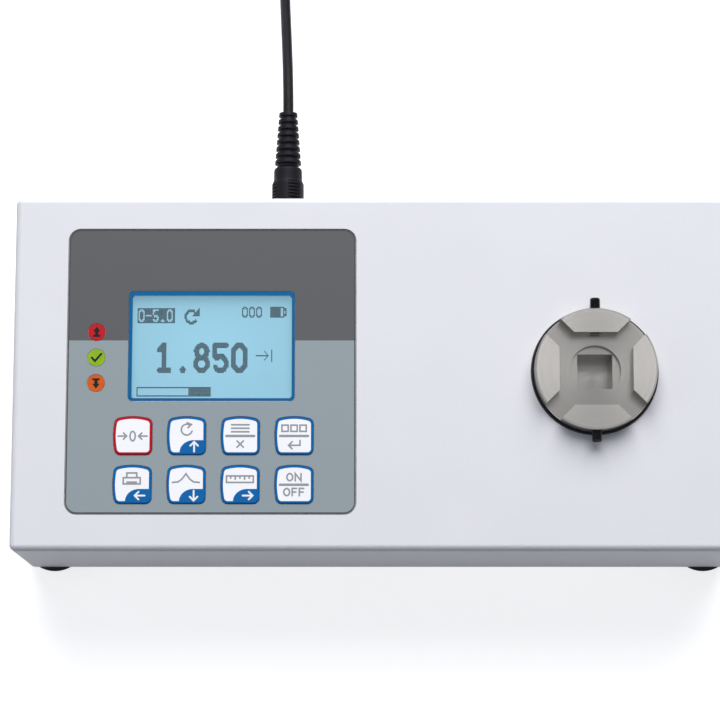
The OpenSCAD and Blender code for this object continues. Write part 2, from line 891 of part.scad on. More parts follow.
module transducer() color("lightsteelblue") {
    bore_d = column_d - 2 * column_wall;
    flat_r = column_d / 2 - flat_depth;
    difference() {
        translate([head_x, case_y, 0]) {
            translate([0, 0, floor_z]) cylinder(d = flange_d, h = flange_t, $fn = round_sides);
            translate([0, 0, column_z]) cylinder(d = column_d, h = column_l, $fn = round_sides);
            translate([0, 0, neck_z]) cylinder(d = head_foot_d, h = neck_t, $fn = round_sides);
        }
        translate([head_x, case_y, floor_z - overrun])
            cylinder(d = bore_d, h = head_z - floor_z + 2 * overrun, $fn = round_sides);
        translate([head_x, case_y, column_z + slot_margin])
            for (a = [0, 90]) rotate(a) block(column_d + overrun, slot_w, column_l - 2 * slot_margin);
        translate([head_x, case_y, column_z + slot_margin])
            for (a = [45 : 90 : 315])
                rotate(a) translate([flat_r + column_d / 4, 0, 0])
                    block(column_d / 2, slot_w, column_l - 2 * slot_margin);
        at_flange_bolts() translate([0, 0, floor_z - overrun])
            cylinder(d = flange_bolt_d + 2 * fit_gap, h = flange_t + 2 * overrun);
        at_head_bolts() translate([0, 0, neck_z - overrun])
            cylinder(d = m4_d + 2 * fit_gap, h = neck_t + 2 * overrun);
    }
}

module strain_gauges() color("orange") {
    translate([head_x, case_y, column_z + (column_l - gauge_h) / 2])
        for (a = [45 : 90 : 315])
            rotate(a) translate([column_d / 2 - flat_depth + gauge_t / 2, 0, 0])
                block(gauge_t, gauge_w, gauge_h);
}

module flange_bolts() color("dimgray") {
    at_flange_bolts() translate([0, 0, column_z])
        cap_screw(flange_bolt_d, flange_t + base_t, flange_bolt_head_d);
}

module head_bolts() color("dimgray") {
    at_head_bolts() translate([0, 0, neck_z]) mirror([0, 0, 1])
        cap_screw(m4_d, neck_t + head_bolt_bite, head_bolt_head_d);
}

// The head: four raised segments stand between diagonal channels around the square drive hole.
module drive_head() color("#c1bfbb") {
    recess_z = head_top_z - recess_d;
    difference() {
        translate([head_x, case_y, 0]) {
            rotate_extrude($fn = round_sides) polygon([
                [0, head_z], [head_foot_d / 2, head_z], [head_foot_d / 2, head_z + head_foot_t],
                [head_d / 2, head_z + head_foot_t], [head_d / 2, head_top_z - edge_chamfer],
                [head_d / 2 - edge_chamfer, head_top_z], [0, head_top_z]
            ]);
        }
        translate([head_x, case_y, recess_z]) {
            block(recess_w, recess_w, recess_d + overrun);
            for (a = [45, 135]) rotate(a) block(head_d + 2 * overrun, channel_w, recess_d + overrun);
            translate([0, 0, -counterbore_t])
                cylinder(d = counterbore_d, h = counterbore_t + overrun, $fn = round_sides);
            translate([0, 0, -counterbore_t - square_d]) block(square_w, square_w, square_d + overrun);
        }
        translate([head_x, case_y, head_top_z - clamp_below_top]) rotate([90, 0, 0])
            translate([0, 0, -head_d / 2 - overrun])
                cylinder(d = clamp_d + 2 * thread_gap, h = head_d + 2 * overrun);
        at_head_bolts() translate([0, 0, head_z - overrun])
            cylinder(d = m4_d + 2 * thread_gap, h = head_bolt_bite + overrun);
    }
}

// A rubber ring between the head and the cover, with a thin lip on the cover.
module head_seal() color("#141416") {
    inner_r = head_d / 2 + seal_gap;
    hole_r = inner_r + seal_w;
    translate([head_x, case_y, 0]) rotate_extrude($fn = round_sides) {
        translate([inner_r, under_z]) square([seal_w - thread_gap, top_wall]);
        translate([inner_r, top_z]) square([seal_w + seal_lip_w, seal_lip_h]);
    }
}

// A headless set screw along +Y with its outer end first, drawn for the front segment.
module clamp_screw() {
    l = head_d / 2 - recess_w / 2 + clamp_out;
    translate([0, -head_d / 2 - clamp_out, 0]) rotate([-90, 0, 0]) difference() {
        rotate_extrude() polygon([
            [0, 0], [clamp_d / 2 - clamp_tip, 0], [clamp_d / 2, clamp_tip],
            [clamp_d / 2, l - clamp_tip], [clamp_d / 2 - clamp_tip, l], [0, l]
        ]);
        translate([0, 0, -overrun]) hexagon(clamp_d * clamp_socket_share, clamp_socket_l + overrun);
    }
}

module clamp_screw_front() color("#18181a") {
    translate([head_x, case_y, head_top_z - clamp_below_top]) clamp_screw();
}

module clamp_screw_rear() color("#18181a") {
    translate([head_x, case_y, head_top_z - clamp_below_top]) rotate(180) clamp_screw();
}

// Rear connectors

module dc_jack() color("#202022") {
    at_rear(jack_x) difference() {
        union() {
            cylinder(d = jack_flange_d, h = jack_flange_t);
            translate([0, 0, -jack_l]) cylinder(d = jack_d, h = jack_l);
        }
        translate([0, 0, jack_flange_t - jack_slot_l]) difference() {
            cylinder(d = barrel_d + 2 * barrel_gap, h = jack_slot_l + overrun);
            translate([0, 0, -overrun]) cylinder(d = jack_pin_d, h = jack_slot_l + overrun);
        }
    }
}

module dc_jack_nut() color("silver") {
    at_rear(jack_x) translate([0, 0, -side_wall - jack_nut_t]) difference() {
        hexagon(jack_nut_w, jack_nut_t);
        translate([0, 0, -overrun]) cylinder(d = jack_d + 2 * thread_gap, h = jack_nut_t + 2 * overrun);
    }
}

// The D-shaped outline of the port, wider above than below.
module data_outline(grow) {
    w = data_shell_w / 2 - data_shell_r;
    h = data_shell_h / 2 - data_shell_r;
    hull() for (s = [-1, 1], t = [-1, 1])
        translate([s * (w + t * data_slant), -t * h]) circle(data_shell_r + grow, $fn = 24);
}

module data_port_shell() color("silver") {
    at_rear(data_x) translate([0, 0, -side_wall]) difference() {
        union() {
            translate([0, 0, -data_flange_t])
                slab(data_flange_w, data_flange_h, data_shell_r, data_flange_t);
            linear_extrude(data_shell_rise) data_outline(0);
        }
        translate([0, 0, -data_flange_t - overrun])
            linear_extrude(data_shell_rise + data_flange_t + 2 * overrun) data_outline(-data_shell_t);
        for (s = [-1, 1])
            translate([s * post_pitch / 2, 0, -data_flange_t - overrun])
                cylinder(d = m3_d + 2 * fit_gap, h = data_flange_t + 2 * overrun);
    }
}

module data_port_insert() color("#1b1b1d") {
    at_rear(data_x) translate([0, 0, -side_wall]) difference() {
        union() {
            translate([0, 0, -data_flange_t - data_back_l])
                linear_extrude(data_back_l + data_flange_t + data_shell_rise - data_insert_set)
                    data_outline(-data_shell_t - data_insert_gap);
            translate([0, 0, -data_flange_t - data_back_l])
                linear_extrude(data_back_l) data_outline(0);
        }
        for (r = [0, 1], i = [0 : 4 - r])
            translate([(i - (4 - r) / 2) * data_pin_pitch, (r - half_share) * data_pin_row,
                       data_shell_rise - data_insert_set - data_pin_l])
                cylinder(d = data_pin_d, h = data_pin_l + overrun, $fn = 16);
    }
}

module data_port_posts() color("silver") {
    at_rear(data_x) for (s = [-1, 1]) translate([s * post_pitch / 2, 0, 0]) difference() {
        union() {
            hexagon(post_w, post_rise);
            translate([0, 0, -side_wall - data_flange_t - post_tail])
                cylinder(d = m3_d, h = side_wall + data_flange_t + post_tail);
        }
        translate([0, 0, post_rise - post_hole_l]) cylinder(d = post_hole_d, h = post_hole_l + overrun);
    }
}

// Internal wiring

module display_cable() color("lightgray") {
    low_z = board_top_z + header_h;
    high_z = display_board_z - header_h;
    low_y = ribbon_header_y;
    high_y = window_y;
    mid_z = (low_z + high_z) / 2;
    translate([window_x, 0, 0])
        strip([[low_y, low_z], [low_y, mid_z - ribbon_t], [high_y, mid_z + ribbon_t], [high_y, high_z]],
              ribbon_t, ribbon_w);
}

module keypad_tail() color("goldenrod") {
    low_z = board_top_z + socket_h;
    bend_z = low_z + tail_w / 2;
    translate([key_grid_x, 0, 0])
        strip([[tail_socket_y, low_z], [tail_socket_y, bend_z], [tail_y, bend_z + tail_w],
               [tail_y, circuit_z]], tail_t, tail_w);
}

module sensor_cable() color("#2b2b2e") {
    z0 = column_z + column_l / 2;
    x0 = head_x - column_d / 2 + column_wall / 2;
    x1 = sensor_socket_x + socket_w / 2;
    z1 = board_top_z + socket_h / 2;
    points = [for (i = [0 : cable_steps])
        let (t = i / cable_steps, ease = t * t * (3 - 2 * t))
        [x0 + (x1 - x0) * t, case_y + (sensor_socket_y - case_y) * ease, z0 + (z1 - z0) * ease]];
    tube(points, cable_d, cable_sides, [-1, 0, 0], [-1, 0, 0]);
}

module supply_leads() color("firebrick") {
    z1 = board_top_z + socket_h / 2;
    y0 = rear_y - jack_l;
    y1 = supply_socket_y + socket_d / 2;
    jack_run = [for (i = [0 : cable_steps])
        let (t = i / cable_steps, ease = t * t * (3 - 2 * t))
        [jack_x, y0 + (y1 - y0) * t, port_cz + (z1 - port_cz) * ease]];
    tube(jack_run, pair_d, cable_sides, [0, -1, 0], [0, -1, 0]);
    pack_z = board_z - socket_h / 2;
    pack_run = [[battery_x + holder_w / 2, pack_socket_y, pack_z],
                [sensor_socket_x - socket_w / 2, pack_socket_y, pack_z]];
    tube(pack_run, pair_d, cable_sides, [1, 0, 0], [1, 0, 0]);
}

// Plug, lead, coil and adapter

module at_plug() translate([jack_x, plug_y, port_cz]) rotate([-90, 0, 0]) children();

module dc_plug_barrel() color("silver") {
    at_plug() translate([0, 0, -plug_gap - barrel_l]) difference() {
        cylinder(d = barrel_d, h = barrel_l + plug_gap);
        translate([0, 0, -overrun]) cylinder(d = barrel_bore_d, h = barrel_l + plug_gap + 2 * overrun);
    }
}

module dc_plug_grip() color("#28282f") {
    grooves = floor((grip_l - grip_front) / grip_rib_pitch);
    at_plug() difference() {
        rotate_extrude() union() {
            polygon([
                [0, 0], [grip_d / 2 - edge_chamfer, 0], [grip_d / 2, edge_chamfer],
                [grip_d / 2, grip_l - plug_shoulder], [plug_body_d / 2, grip_l],
                [plug_body_d / 2, plug_l - plug_shoulder], [0, plug_l - plug_shoulder]
            ]);
            translate([0, plug_l - plug_shoulder]) square([plug_body_d / 2 - plug_shoulder, plug_shoulder]);
            intersection() {
                translate([plug_body_d / 2 - plug_shoulder, plug_l - plug_shoulder]) circle(plug_shoulder);
                translate([0, plug_l - 2 * plug_shoulder]) square([plug_body_d / 2, 2 * plug_shoulder]);
            }
        }
        for (a = [0 : 90 : 270], i = [0 : grooves - 1])
            rotate(a + grip_turn)
                translate([grip_d / 2, 0, grip_front + i * grip_rib_pitch])
                    block(2 * grip_groove_d, grip_pad_w, grip_groove_w);
    }
}

// A tapered strain relief cut by grooves all round.
function relief_r(z) = (relief_root_d + (relief_tip_d - relief_root_d) * z / relief_l) / 2;

module dc_plug_relief() color("#202026") {
    pitch = relief_l / relief_rib_count;
    groove = pitch * relief_groove_share;
    core_r = relief_tip_d / 2 * relief_core_share;
    at_plug() translate([0, 0, plug_l]) rotate_extrude() polygon(concat(
        [[0, 0]],
        [for (i = [0 : relief_rib_count - 1])
            let (z = i * pitch, c = max(core_r, relief_r(z) * relief_core_share))
            each [[c, z], [c, z + groove], [relief_r(z + groove), z + groove],
                  [relief_r(z + pitch), z + pitch]]],
        [[0, relief_l]]
    ));
}

LEAD_PATH = [for (i = [0 : lead_steps])
    let (t = i / lead_steps, s = min(1, t / lead_sink_share), ease = s * s * (3 - 2 * s))
    [jack_x - lead_drift * ease, lead_y + lead_reach * t, port_cz + (coil_z - port_cz) * ease]];

module power_lead() color("#202024") tube(LEAD_PATH, lead_d, lead_sides, [0, 1, 0], [0, 1, 0]);

// Turns counted from the entry: in over the lower layer, up in the reversing half turn, out on top.
function coil_radius(t) =
    let (turned = layer_turns + climb_turns / 2)
    coil_outer_r - turn_pitch * (turned - abs(t - turned));
function coil_height(t) =
    coil_z + turn_pitch * min(1, max(0, (t - layer_turns) / climb_turns));
coil_turns = 2 * layer_turns + climb_turns;
coil_steps = round(coil_turns * turn_rings);
COIL_PATH = concat(
    [[coil_x - coil_outer_r, lead_y + lead_reach, coil_z]],
    [for (i = [0 : coil_steps])
        let (t = i * coil_turns / coil_steps, r = coil_radius(t))
        [coil_x - r * cos(360 * t), coil_y + r * sin(360 * t), coil_height(t)]],
    [for (i = [1 : coil_run_steps])
        [coil_x + coil_run * i / coil_run_steps, coil_y + coil_outer_r, coil_top_z]]
);
near_skip = turn_rings / 3;
coil_last = len(COIL_PATH) - 1;
coil_least_gap = min([for (i = [0 : coil_last - near_skip], j = [i + near_skip : coil_last])
    norm(COIL_PATH[i] - COIL_PATH[j])]) - lead_d;

module power_lead_coil() color("#202024") {
    echo(least_gap_between_turns = coil_least_gap);
    tube(COIL_PATH, lead_d, turn_sides, [0, 1, 0], [1, 0, 0]);
}

// A flat strap round all the turns, on the adapter's side.
module coil_tie() color("#101012") {
    inner_turn = coil_radius(layer_turns + climb_turns / 2) - lead_d / 2;
    in_r = sqrt(inner_turn * inner_turn - tie_w * tie_w / 4) - tie_gap;
    out_r = coil_outer_r + lead_d / 2 + tie_gap;
    low = coil_z - lead_d / 2 - tie_gap;
    high = coil_top_z + lead_d / 2 + tie_gap;
    translate([coil_x, coil_y, 0]) difference() {
        translate([in_r - tie_t, -tie_w / 2, low - tie_t])
            cube([out_r - in_r + 2 * tie_t, tie_w, high - low + 2 * tie_t]);
        translate([in_r, -tie_w / 2 - overrun, low]) cube([out_r - in_r, tie_w + 2 * overrun, high - low]);
    }
}

module adapter_body() color("#1e1e21") {
    face_x = adapter_l - adapter_face_t - adapter_r;
    face_in = 2 * adapter_face_step;
    translate([adapter_x, adapter_y, 0]) {
        hull() for (x = [adapter_r, face_x], s = [-1, 1], z = [adapter_r, adapter_h - adapter_r])
            translate([x, s * (adapter_w / 2 - adapter_r), z]) sphere(adapter_r, $fn = 24);
        translate([face_x, 0, adapter_h / 2]) rotate([0, 90, 0])
            slab(adapter_h - face_in, adapter_w - face_in, adapter_r, adapter_face_t + adapter_r);
        translate([-adapter_relief_l, 0, coil_top_z]) rotate([0, 90, 0])
            cylinder(d1 = adapter_relief_tip_d, d2 = adapter_relief_d, h = adapter_relief_l + adapter_r / 2);
    }
}

module adapter_pins() color("silver") {
    sleeve_d = pin_d * pin_sleeve_share;
    for (s = [-1, 1])
        translate([adapter_x + adapter_l, adapter_y + s * pin_pitch / 2, adapter_h / 2]) rotate([0, 90, 0]) {
            cylinder(d = sleeve_d, h = pin_sleeve_l);
            translate([0, 0, pin_sleeve_l]) cylinder(d = pin_d, h = pin_l - pin_sleeve_l - pin_d / 2);
            translate([0, 0, pin_l - pin_d / 2]) sphere(d = pin_d);
        }
}

housing_cover();
base_plate();
cover_screws();
rubber_feet();
foot_screws();
front_overlay();
membrane_spacer();
membrane_circuit();
snap_domes();
key_zero();
key_reset();
key_menu();
key_memory();
key_print();
key_mode();
key_units();
key_power();
display_window();
lamp_red();
lamp_green();
lamp_orange();
display_board();
lcd_glass();
lcd_bezel();
lcd_backlight();
status_leds();
display_nuts();
main_board();
board_standoffs();
board_screws();
board_chips();
battery_holder();
battery_cells();
battery_screws();
transducer();
strain_gauges();
flange_bolts();
head_bolts();
drive_head();
head_seal();
clamp_screw_front();
clamp_screw_rear();
dc_jack();
dc_jack_nut();
data_port_shell();
data_port_insert();
data_port_posts();
display_cable();
keypad_tail();
sensor_cable();
supply_leads();
dc_plug_barrel();
dc_plug_grip();
dc_plug_relief();
power_lead();
power_lead_coil();
coil_tie();
adapter_body();
adapter_pins();
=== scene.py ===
"""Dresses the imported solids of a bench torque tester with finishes, printing, light and a camera.

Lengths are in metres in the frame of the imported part, unless a name ends in _mm.
"""

import json
from math import atan2, cos, degrees, pi, radians, sin, sqrt

import bmesh
import bpy
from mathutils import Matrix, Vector


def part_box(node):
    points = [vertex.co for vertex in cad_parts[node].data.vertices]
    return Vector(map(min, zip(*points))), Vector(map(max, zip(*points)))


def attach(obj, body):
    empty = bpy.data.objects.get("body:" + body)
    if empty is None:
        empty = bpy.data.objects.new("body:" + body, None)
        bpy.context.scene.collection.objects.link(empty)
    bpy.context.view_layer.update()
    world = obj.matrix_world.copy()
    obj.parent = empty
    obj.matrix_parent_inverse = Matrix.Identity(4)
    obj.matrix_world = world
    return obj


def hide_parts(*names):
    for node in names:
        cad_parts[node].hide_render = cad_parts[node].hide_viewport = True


bl_info = {
    "name": "Torque tester",
    "version": (1, 0, 0),
    "blender": (4, 5, 0),
    "location": "3D View > Sidebar > Torque tester",
    "description": "Dresses a bench torque tester",
    "category": "Add Mesh",
}

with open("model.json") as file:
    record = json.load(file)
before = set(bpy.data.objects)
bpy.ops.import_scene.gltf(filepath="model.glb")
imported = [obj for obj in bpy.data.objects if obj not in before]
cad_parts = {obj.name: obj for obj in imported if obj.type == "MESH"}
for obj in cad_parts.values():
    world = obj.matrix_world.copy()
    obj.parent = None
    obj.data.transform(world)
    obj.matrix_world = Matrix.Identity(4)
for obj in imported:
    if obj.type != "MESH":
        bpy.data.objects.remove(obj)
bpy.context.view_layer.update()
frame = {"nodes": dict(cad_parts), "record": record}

MM = 0.001
CASE_BODY = "case"
SLOTS = {row["node"]: row["material_slot"] for row in frame["record"]["subparts"]}


def span(node):
    """Lowest corner, highest corner and middle of a solid, in millimetres."""
    low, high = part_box(node)
    return low / MM, high / MM, (low + high) / 2 / MM


CASE_HIGH, CASE_MID = span("housing_cover")[1:]
WINDOW_LOW, WINDOW_HIGH, WINDOW_MID = span("display_window")
GLASS_TOP = span("lcd_glass")[1].z
HEAD_HIGH, HEAD_MID = span("drive_head")[1:]
HEAD_R = 22.5
PANEL_TOP = span("front_overlay")[1].z
PANEL_CORNER = 4.2
PRINT_MM = 0.03
HAIR_MM = 0.002
SHARP_DEGREES = 32
NOISE_SPAN = (0.3, 0.7)
MITRE_LIMIT = 0.35


def linear(code):
    """A hex sRGB colour as the linear values that a shader socket holds."""
    values = [int(code[i:i + 2], 16) / 255 for i in (1, 3, 5)]
    return [v / 12.92 if v <= 0.04045 else ((v + 0.055) / 1.055) ** 2.4 for v in values] + [1.0]


def per_mm(size_mm):
    """Texture scale that repeats a pattern every size_mm in object coordinates."""
    return 1 / (size_mm * MM)


# Sizes and colours that a user would change


def ink(name, description, code):
    """A colour that the user can change, with its first value in hex."""
    return bpy.props.FloatVectorProperty(name=name, description=description, subtype="COLOR", size=4,
                                         default=linear(code))


def size(name, description, first, low, high):
    """A length that the user can change, with its first, least and greatest value in millimetres."""
    return bpy.props.FloatProperty(name=name, description=description, default=first * MM, min=low * MM,
                                   max=high * MM, unit="LENGTH", precision=5)


class TesterColours(bpy.types.PropertyGroup):
    """Colours of the finishes that set the tester's look."""

    case: ink("Case", "Powder coat of the case", "#E1E1E4")
    panel_upper: ink("Panel, upper", "Print of the panel above its dividing line", "#58595B")
    panel_lower: ink("Panel, lower", "Print of the panel below its dividing line", "#929DA1")
    key_blue: ink("Key rims", "Blue ink of the keys", "#0062A5")
    border_blue: ink("Display border", "Blue ink round the display", "#005F94")
    key_red: ink("Zero key rim", "Red ink of the zero key", "#B80A22")
    display: ink("Display", "Lit face of the display", "#96D4EC")


class TesterSizes(bpy.types.PropertyGroup):
    """Sizes of the printing and of the stage."""

    rim: size("Key rim", "Width of a key's coloured rim", 0.93, 0.3, 2)
    pen: size("Legend line", "Width of the lines on the keys", 0.6, 0.2, 1)
    divider: size("Panel divider", "Height of the dividing line above the middle of the case", 11.8, -40, 50)
    floor: size("Floor", "Half the width of the floor", 6000, 1000, 20000)
    reading: bpy.props.StringProperty(name="Reading", description="Figures on the display", default="1.850")


# Materials


def add(tree, kind, sockets=None, **settings):
    """Add a node, set its properties, and give its sockets their values or links."""
    made = tree.nodes.new(kind)
    for name, value in settings.items():
        setattr(made, name, value)
    for name, value in (sockets or {}).items():
        if isinstance(value, bpy.types.NodeSocket):
            tree.links.new(value, made.inputs[name])
        else:
            made.inputs[name].default_value = value
    return made


def begin(name, colour, roughness, metallic=0.0, **sockets):
    """A material with its surface shader, whose sockets hold the plain values."""
    material = bpy.data.materials.new(name)
    material.use_nodes = True
    shader = material.node_tree.nodes["Principled BSDF"]
    shader.inputs["Base Color"].default_value = colour
    shader.inputs["Roughness"].default_value = roughness
    shader.inputs["Metallic"].default_value = metallic
    for key, value in sockets.items():
        shader.inputs[key.replace("_", " ")].default_value = value
    material.diffuse_color = colour
    return material, material.node_tree, shader


def place(tree):
    """Where a point of the surface lies in the frame."""
    return add(tree, "ShaderNodeTexCoord").outputs["Object"]


def parts(tree, vector):
    """The X, Y and Z of a vector, by name."""
    return add(tree, "ShaderNodeSeparateXYZ", {"Vector": vector}).outputs


def grain(tree, size_mm, detail=2.0, roughness=0.5):
    """Fine noise with lumps of size_mm."""
    return add(tree, "ShaderNodeTexNoise", {
        "Vector": place(tree), "Scale": per_mm(size_mm), "Detail": detail, "Roughness": roughness,
    }).outputs["Fac"]


def darker(colour, share):
    """The same colour with a share of its light."""
    return [c * share for c in colour[:3]] + [1]


def emboss(tree, shader, height, depth_mm):
    """Let a height pattern shade the surface as bumps depth_mm high."""
    bump = add(tree, "ShaderNodeBump", {"Height": height, "Strength": 1.0, "Distance": depth_mm * MM})
    tree.links.new(bump.outputs["Normal"], shader.inputs["Normal"])


def spread(tree, value, start, end, low=0.0, high=1.0):
    """The value stretched from one range to another, and kept within it."""
    return add(tree, "ShaderNodeMapRange", {"Value": value, "From Min": start, "From Max": end,
                                            "To Min": low, "To Max": high}).outputs["Result"]


def blend(tree, factor, first, second):
    """The first colour where the factor is 0, and the second where it is 1."""
    return add(tree, "ShaderNodeMix", {0: factor, 6: first, 7: second}, data_type="RGBA").outputs[2]


def reckon(tree, operation, first, second=0.0, kind="Math", **settings):
    """The output of a node that reckons with numbers, or with vectors where its kind is VectorMath."""
    made = add(tree, f"ShaderNode{kind}", {0: first, 1: second}, operation=operation, **settings)
    return made.outputs["Value" if operation == "LENGTH" else 0]


def vary(tree, shader, factor, low, high):
    """Spread the roughness between low and high by a pattern."""
    tree.links.new(spread(tree, factor, *NOISE_SPAN, low, high), shader.inputs["Roughness"])


def tint(tree, shader, factor, colour, shade):
    """Shift the colour a little by a pattern, from the colour towards the same darker one."""
    mixed = blend(tree, spread(tree, factor, *NOISE_SPAN), colour, darker(colour, shade))
    tree.links.new(mixed, shader.inputs["Base Color"])


def powder_coat():
    """Fine-textured powder coat, sprayed and baked: an even satin skin with a close orange peel."""
    colour = list(bpy.context.scene.tester_colours.case)
    made, tree, shader = begin("fine_textured_powder_coat", colour, 0.52, Specular_IOR_Level=0.3)
    peel = grain(tree, 0.9, detail=3.0, roughness=0.6)
    emboss(tree, shader, peel, 0.035)
    vary(tree, shader, grain(tree, 2.5), 0.46, 0.56)
    tint(tree, shader, grain(tree, 35, detail=1.0), colour, 0.975)
    return made


def zinc_plate():
    """Zinc-plated steel, passivated: soft grey metal with a faint cloudy sheen."""
    colour = linear("#B4B7BA")
    made, tree, shader = begin("bright_zinc_plated_steel", colour, 0.34, 1.0)
    vary(tree, shader, grain(tree, 6, detail=4.0), 0.26, 0.42)
    tint(tree, shader, grain(tree, 14), colour, 0.86)
    return made


def black_oxide():
    """Black-oxide steel, blackened and oiled: near black, with a dull shine on its edges."""
    colour = linear("#202022")
    made, tree, shader = begin("oiled_black_oxide_steel", colour, 0.38, 0.75)
    vary(tree, shader, grain(tree, 0.7, detail=3.0), 0.3, 0.48)
    emboss(tree, shader, grain(tree, 0.35), 0.008)
    return made


def nickel_steel():
    """Nickel-plated steel, face-turned: fine rings round the axis, and painted shade that darkens the recess
    and channels below the top lands.
    """
    colour = linear("#959391")
    made, tree, shader = begin("face_turned_nickel_steel", colour, 0.24, 1.0, Anisotropic=0.5)
    around = reckon(tree, "SUBTRACT", place(tree), HEAD_MID * MM, "VectorMath")
    split = parts(tree, around)
    square = [reckon(tree, "POWER", split[axis], 2.0) for axis in "XY"]
    radius = reckon(tree, "SQRT", reckon(tree, "ADD", *square))
    rings = add(tree, "ShaderNodeTexNoise", {"W": radius, "Scale": per_mm(0.5), "Detail": 3.0},
                noise_dimensions="1D").outputs["Fac"]
    # The side was turned at a coarser feed than the face, so it shines less.
    side = spread(tree, radius, (HEAD_R - 0.3) * MM, (HEAD_R - 0.1) * MM, 0, 0.44)
    dull = reckon(tree, "MAXIMUM", spread(tree, rings, *NOISE_SPAN, 0.21, 0.27), side)
    tree.links.new(dull, shader.inputs["Roughness"])
    # Painted shade: below the top lands, in the recess and the channels, the metal gets 0.7 of its colour;
    # the side wall is darkened less.
    top = HEAD_HIGH.z - HEAD_MID.z
    top_land = spread(tree, split["Z"], (top - 1.2) * MM, (top - 0.4) * MM)
    unshaded = reckon(tree, "ADD", top_land, side, use_clamp=True)
    tree.links.new(blend(tree, unshaded, darker(colour, 0.7), colour), shader.inputs["Base Color"])
    tangent = reckon(tree, "CROSS_PRODUCT", around, (0, 0, 1), "VectorMath")
    tree.links.new(tangent, shader.inputs["Tangent"])
    return made


def plain_metal(name, code, roughness, lump_mm, detail, low, high):
    """Plated or milled metal whose shine varies a little in soft patches."""
    made, tree, shader = begin(name, linear(code), roughness, 1.0)
    vary(tree, shader, grain(tree, lump_mm, detail=detail), low, high)
    return made


def foot_rubber():
    """Nitrile rubber, compression-moulded: matt black with a dusty bloom."""
    colour = linear("#1D1D1F")
    made, tree, shader = begin("moulded_nitrile_rubber", colour, 0.78, Specular_IOR_Level=0.3)
    emboss(tree, shader, grain(tree, 0.5, detail=3.0), 0.03)
    tint(tree, shader, grain(tree, 5), linear("#232325"), 0.7)
    return made


def overlay_film():
    """Polyester film, screen-printed on its back in two greys: smooth, with a velvet grain."""
    colours = bpy.context.scene.tester_colours
    made, tree, shader = begin("velvet_polyester_film", list(colours.panel_lower), 0.52,
                               Specular_IOR_Level=0.22)
    divider = CASE_MID.y * MM + bpy.context.scene.tester_sizes.divider
    above = reckon(tree, "GREATER_THAN", parts(tree, place(tree))["Y"], divider)
    clouds = grain(tree, 30, detail=1.0)
    greys = [blend(tree, clouds, list(grey), darker(grey, 0.94))
             for grey in (colours.panel_lower, colours.panel_upper)]
    tree.links.new(blend(tree, above, *greys), shader.inputs["Base Color"])
    emboss(tree, shader, grain(tree, 0.3), 0.006)
    return made


def window_film():
    """Clear polyester with an anti-glare hard coat: lets the display through under a soft reflection."""
    made, tree, shader = begin("anti_glare_clear_polyester", linear("#DDECF2"), 0.22, Alpha=0.05)
    vary(tree, shader, grain(tree, 3), 0.18, 0.28)
    made.surface_render_method = "BLENDED"
    return made


def printed_ink(name, colour, roughness=0.5):
    """Screen ink under polyester film: an even solid colour with the film's velvet grain."""
    made, tree, shader = begin(name, colour, roughness, Specular_IOR_Level=0.12)
    emboss(tree, shader, grain(tree, 0.3), 0.005)
    tint(tree, shader, grain(tree, 12), colour, 0.96)
    return made


def display_glass():
    """Liquid-crystal glass over a backlight: a pale blue glow, a little brighter in its middle, whose dimming
    towards the edges is painted shade of the window's rim.
    """
    colour = list(bpy.context.scene.tester_colours.display)
    made, tree, shader = begin("backlit_display_glass", darker(colour, 0.26), 0.35, Specular_IOR_Level=0.2)
    middle = reckon(tree, "SUBTRACT", place(tree), WINDOW_MID * MM, "VectorMath")
    shape = reckon(tree, "MULTIPLY", middle, (per_mm(42), per_mm(30), 0), "VectorMath")
    reach = reckon(tree, "LENGTH", shape, (0, 0, 0), "VectorMath")
    shader.inputs["Emission Color"].default_value = colour
    # Painted shade: the glow falls from its middle towards the edges, where the window's rim shades the
    # glass.
    tree.links.new(spread(tree, reach, 0.1, 1.1, 0.66, 0.52), shader.inputs["Emission Strength"])
    return made


def lens_film(name, code):
    """Translucent tinted film over a light-emitting diode: a flat, saturated disc."""
    colour = linear(code)
    made, tree, shader = begin(name, colour, 0.45, Specular_IOR_Level=0.18)
    tint(tree, shader, grain(tree, 2.5), colour, 0.88)
    return made


def moulded_vinyl(name, code, lump_mm=0.5, roughness=0.46):
    """Soft vinyl, moulded or extruded: dark and slightly waxy, with a fine pebble."""
    colour = linear(code)
    made, tree, shader = begin(name, colour, roughness, Specular_IOR_Level=0.12)
    emboss(tree, shader, grain(tree, lump_mm, detail=2.0), 0.015)
    vary(tree, shader, grain(tree, 4), roughness - 0.06, roughness + 0.08)
    return made


def eroded_abs():
    """ABS, moulded against a spark-eroded tool: matt black with a close even grain."""
    colour = linear("#1E1E20")
    made, tree, shader = begin("spark_eroded_abs", colour, 0.55)
    emboss(tree, shader, grain(tree, 0.45, detail=3.0, roughness=0.7), 0.04)
    return made


def plain_plastic(name, code, roughness=0.45):
    """A moulded or coated insulating piece inside the case."""
    colour = linear(code)
    made, tree, shader = begin(name, colour, roughness)
    vary(tree, shader, grain(tree, 2.0), roughness - 0.05, roughness + 0.05)
    tint(tree, shader, grain(tree, 9), colour, 0.9)
    return made


def strap_weave():
    """Woven nylon strap: matt black threads that cross at right angles."""
    colour = linear("#17171A")
    made, tree, shader = begin("woven_nylon_strap", colour, 0.85, Specular_IOR_Level=0.3, Sheen_Weight=0.25)
    weave = add(tree, "ShaderNodeTexChecker", {"Vector": place(tree), "Scale": per_mm(0.8)}).outputs["Fac"]
    emboss(tree, shader, weave, 0.05)
    return made


def circuit_board():
    """Glass-fibre laminate under green resist: glossy, with the weave just showing."""
    colour = linear("#12502F")
    made, tree, shader = begin("solder_masked_laminate", colour, 0.25)
    weave = add(tree, "ShaderNodeTexWave", {"Vector": place(tree), "Scale": per_mm(6)}, wave_type="BANDS")
    emboss(tree, shader, weave.outputs["Fac"], 0.01)
    tint(tree, shader, grain(tree, 4, detail=4.0), colour, 0.75)
    return made


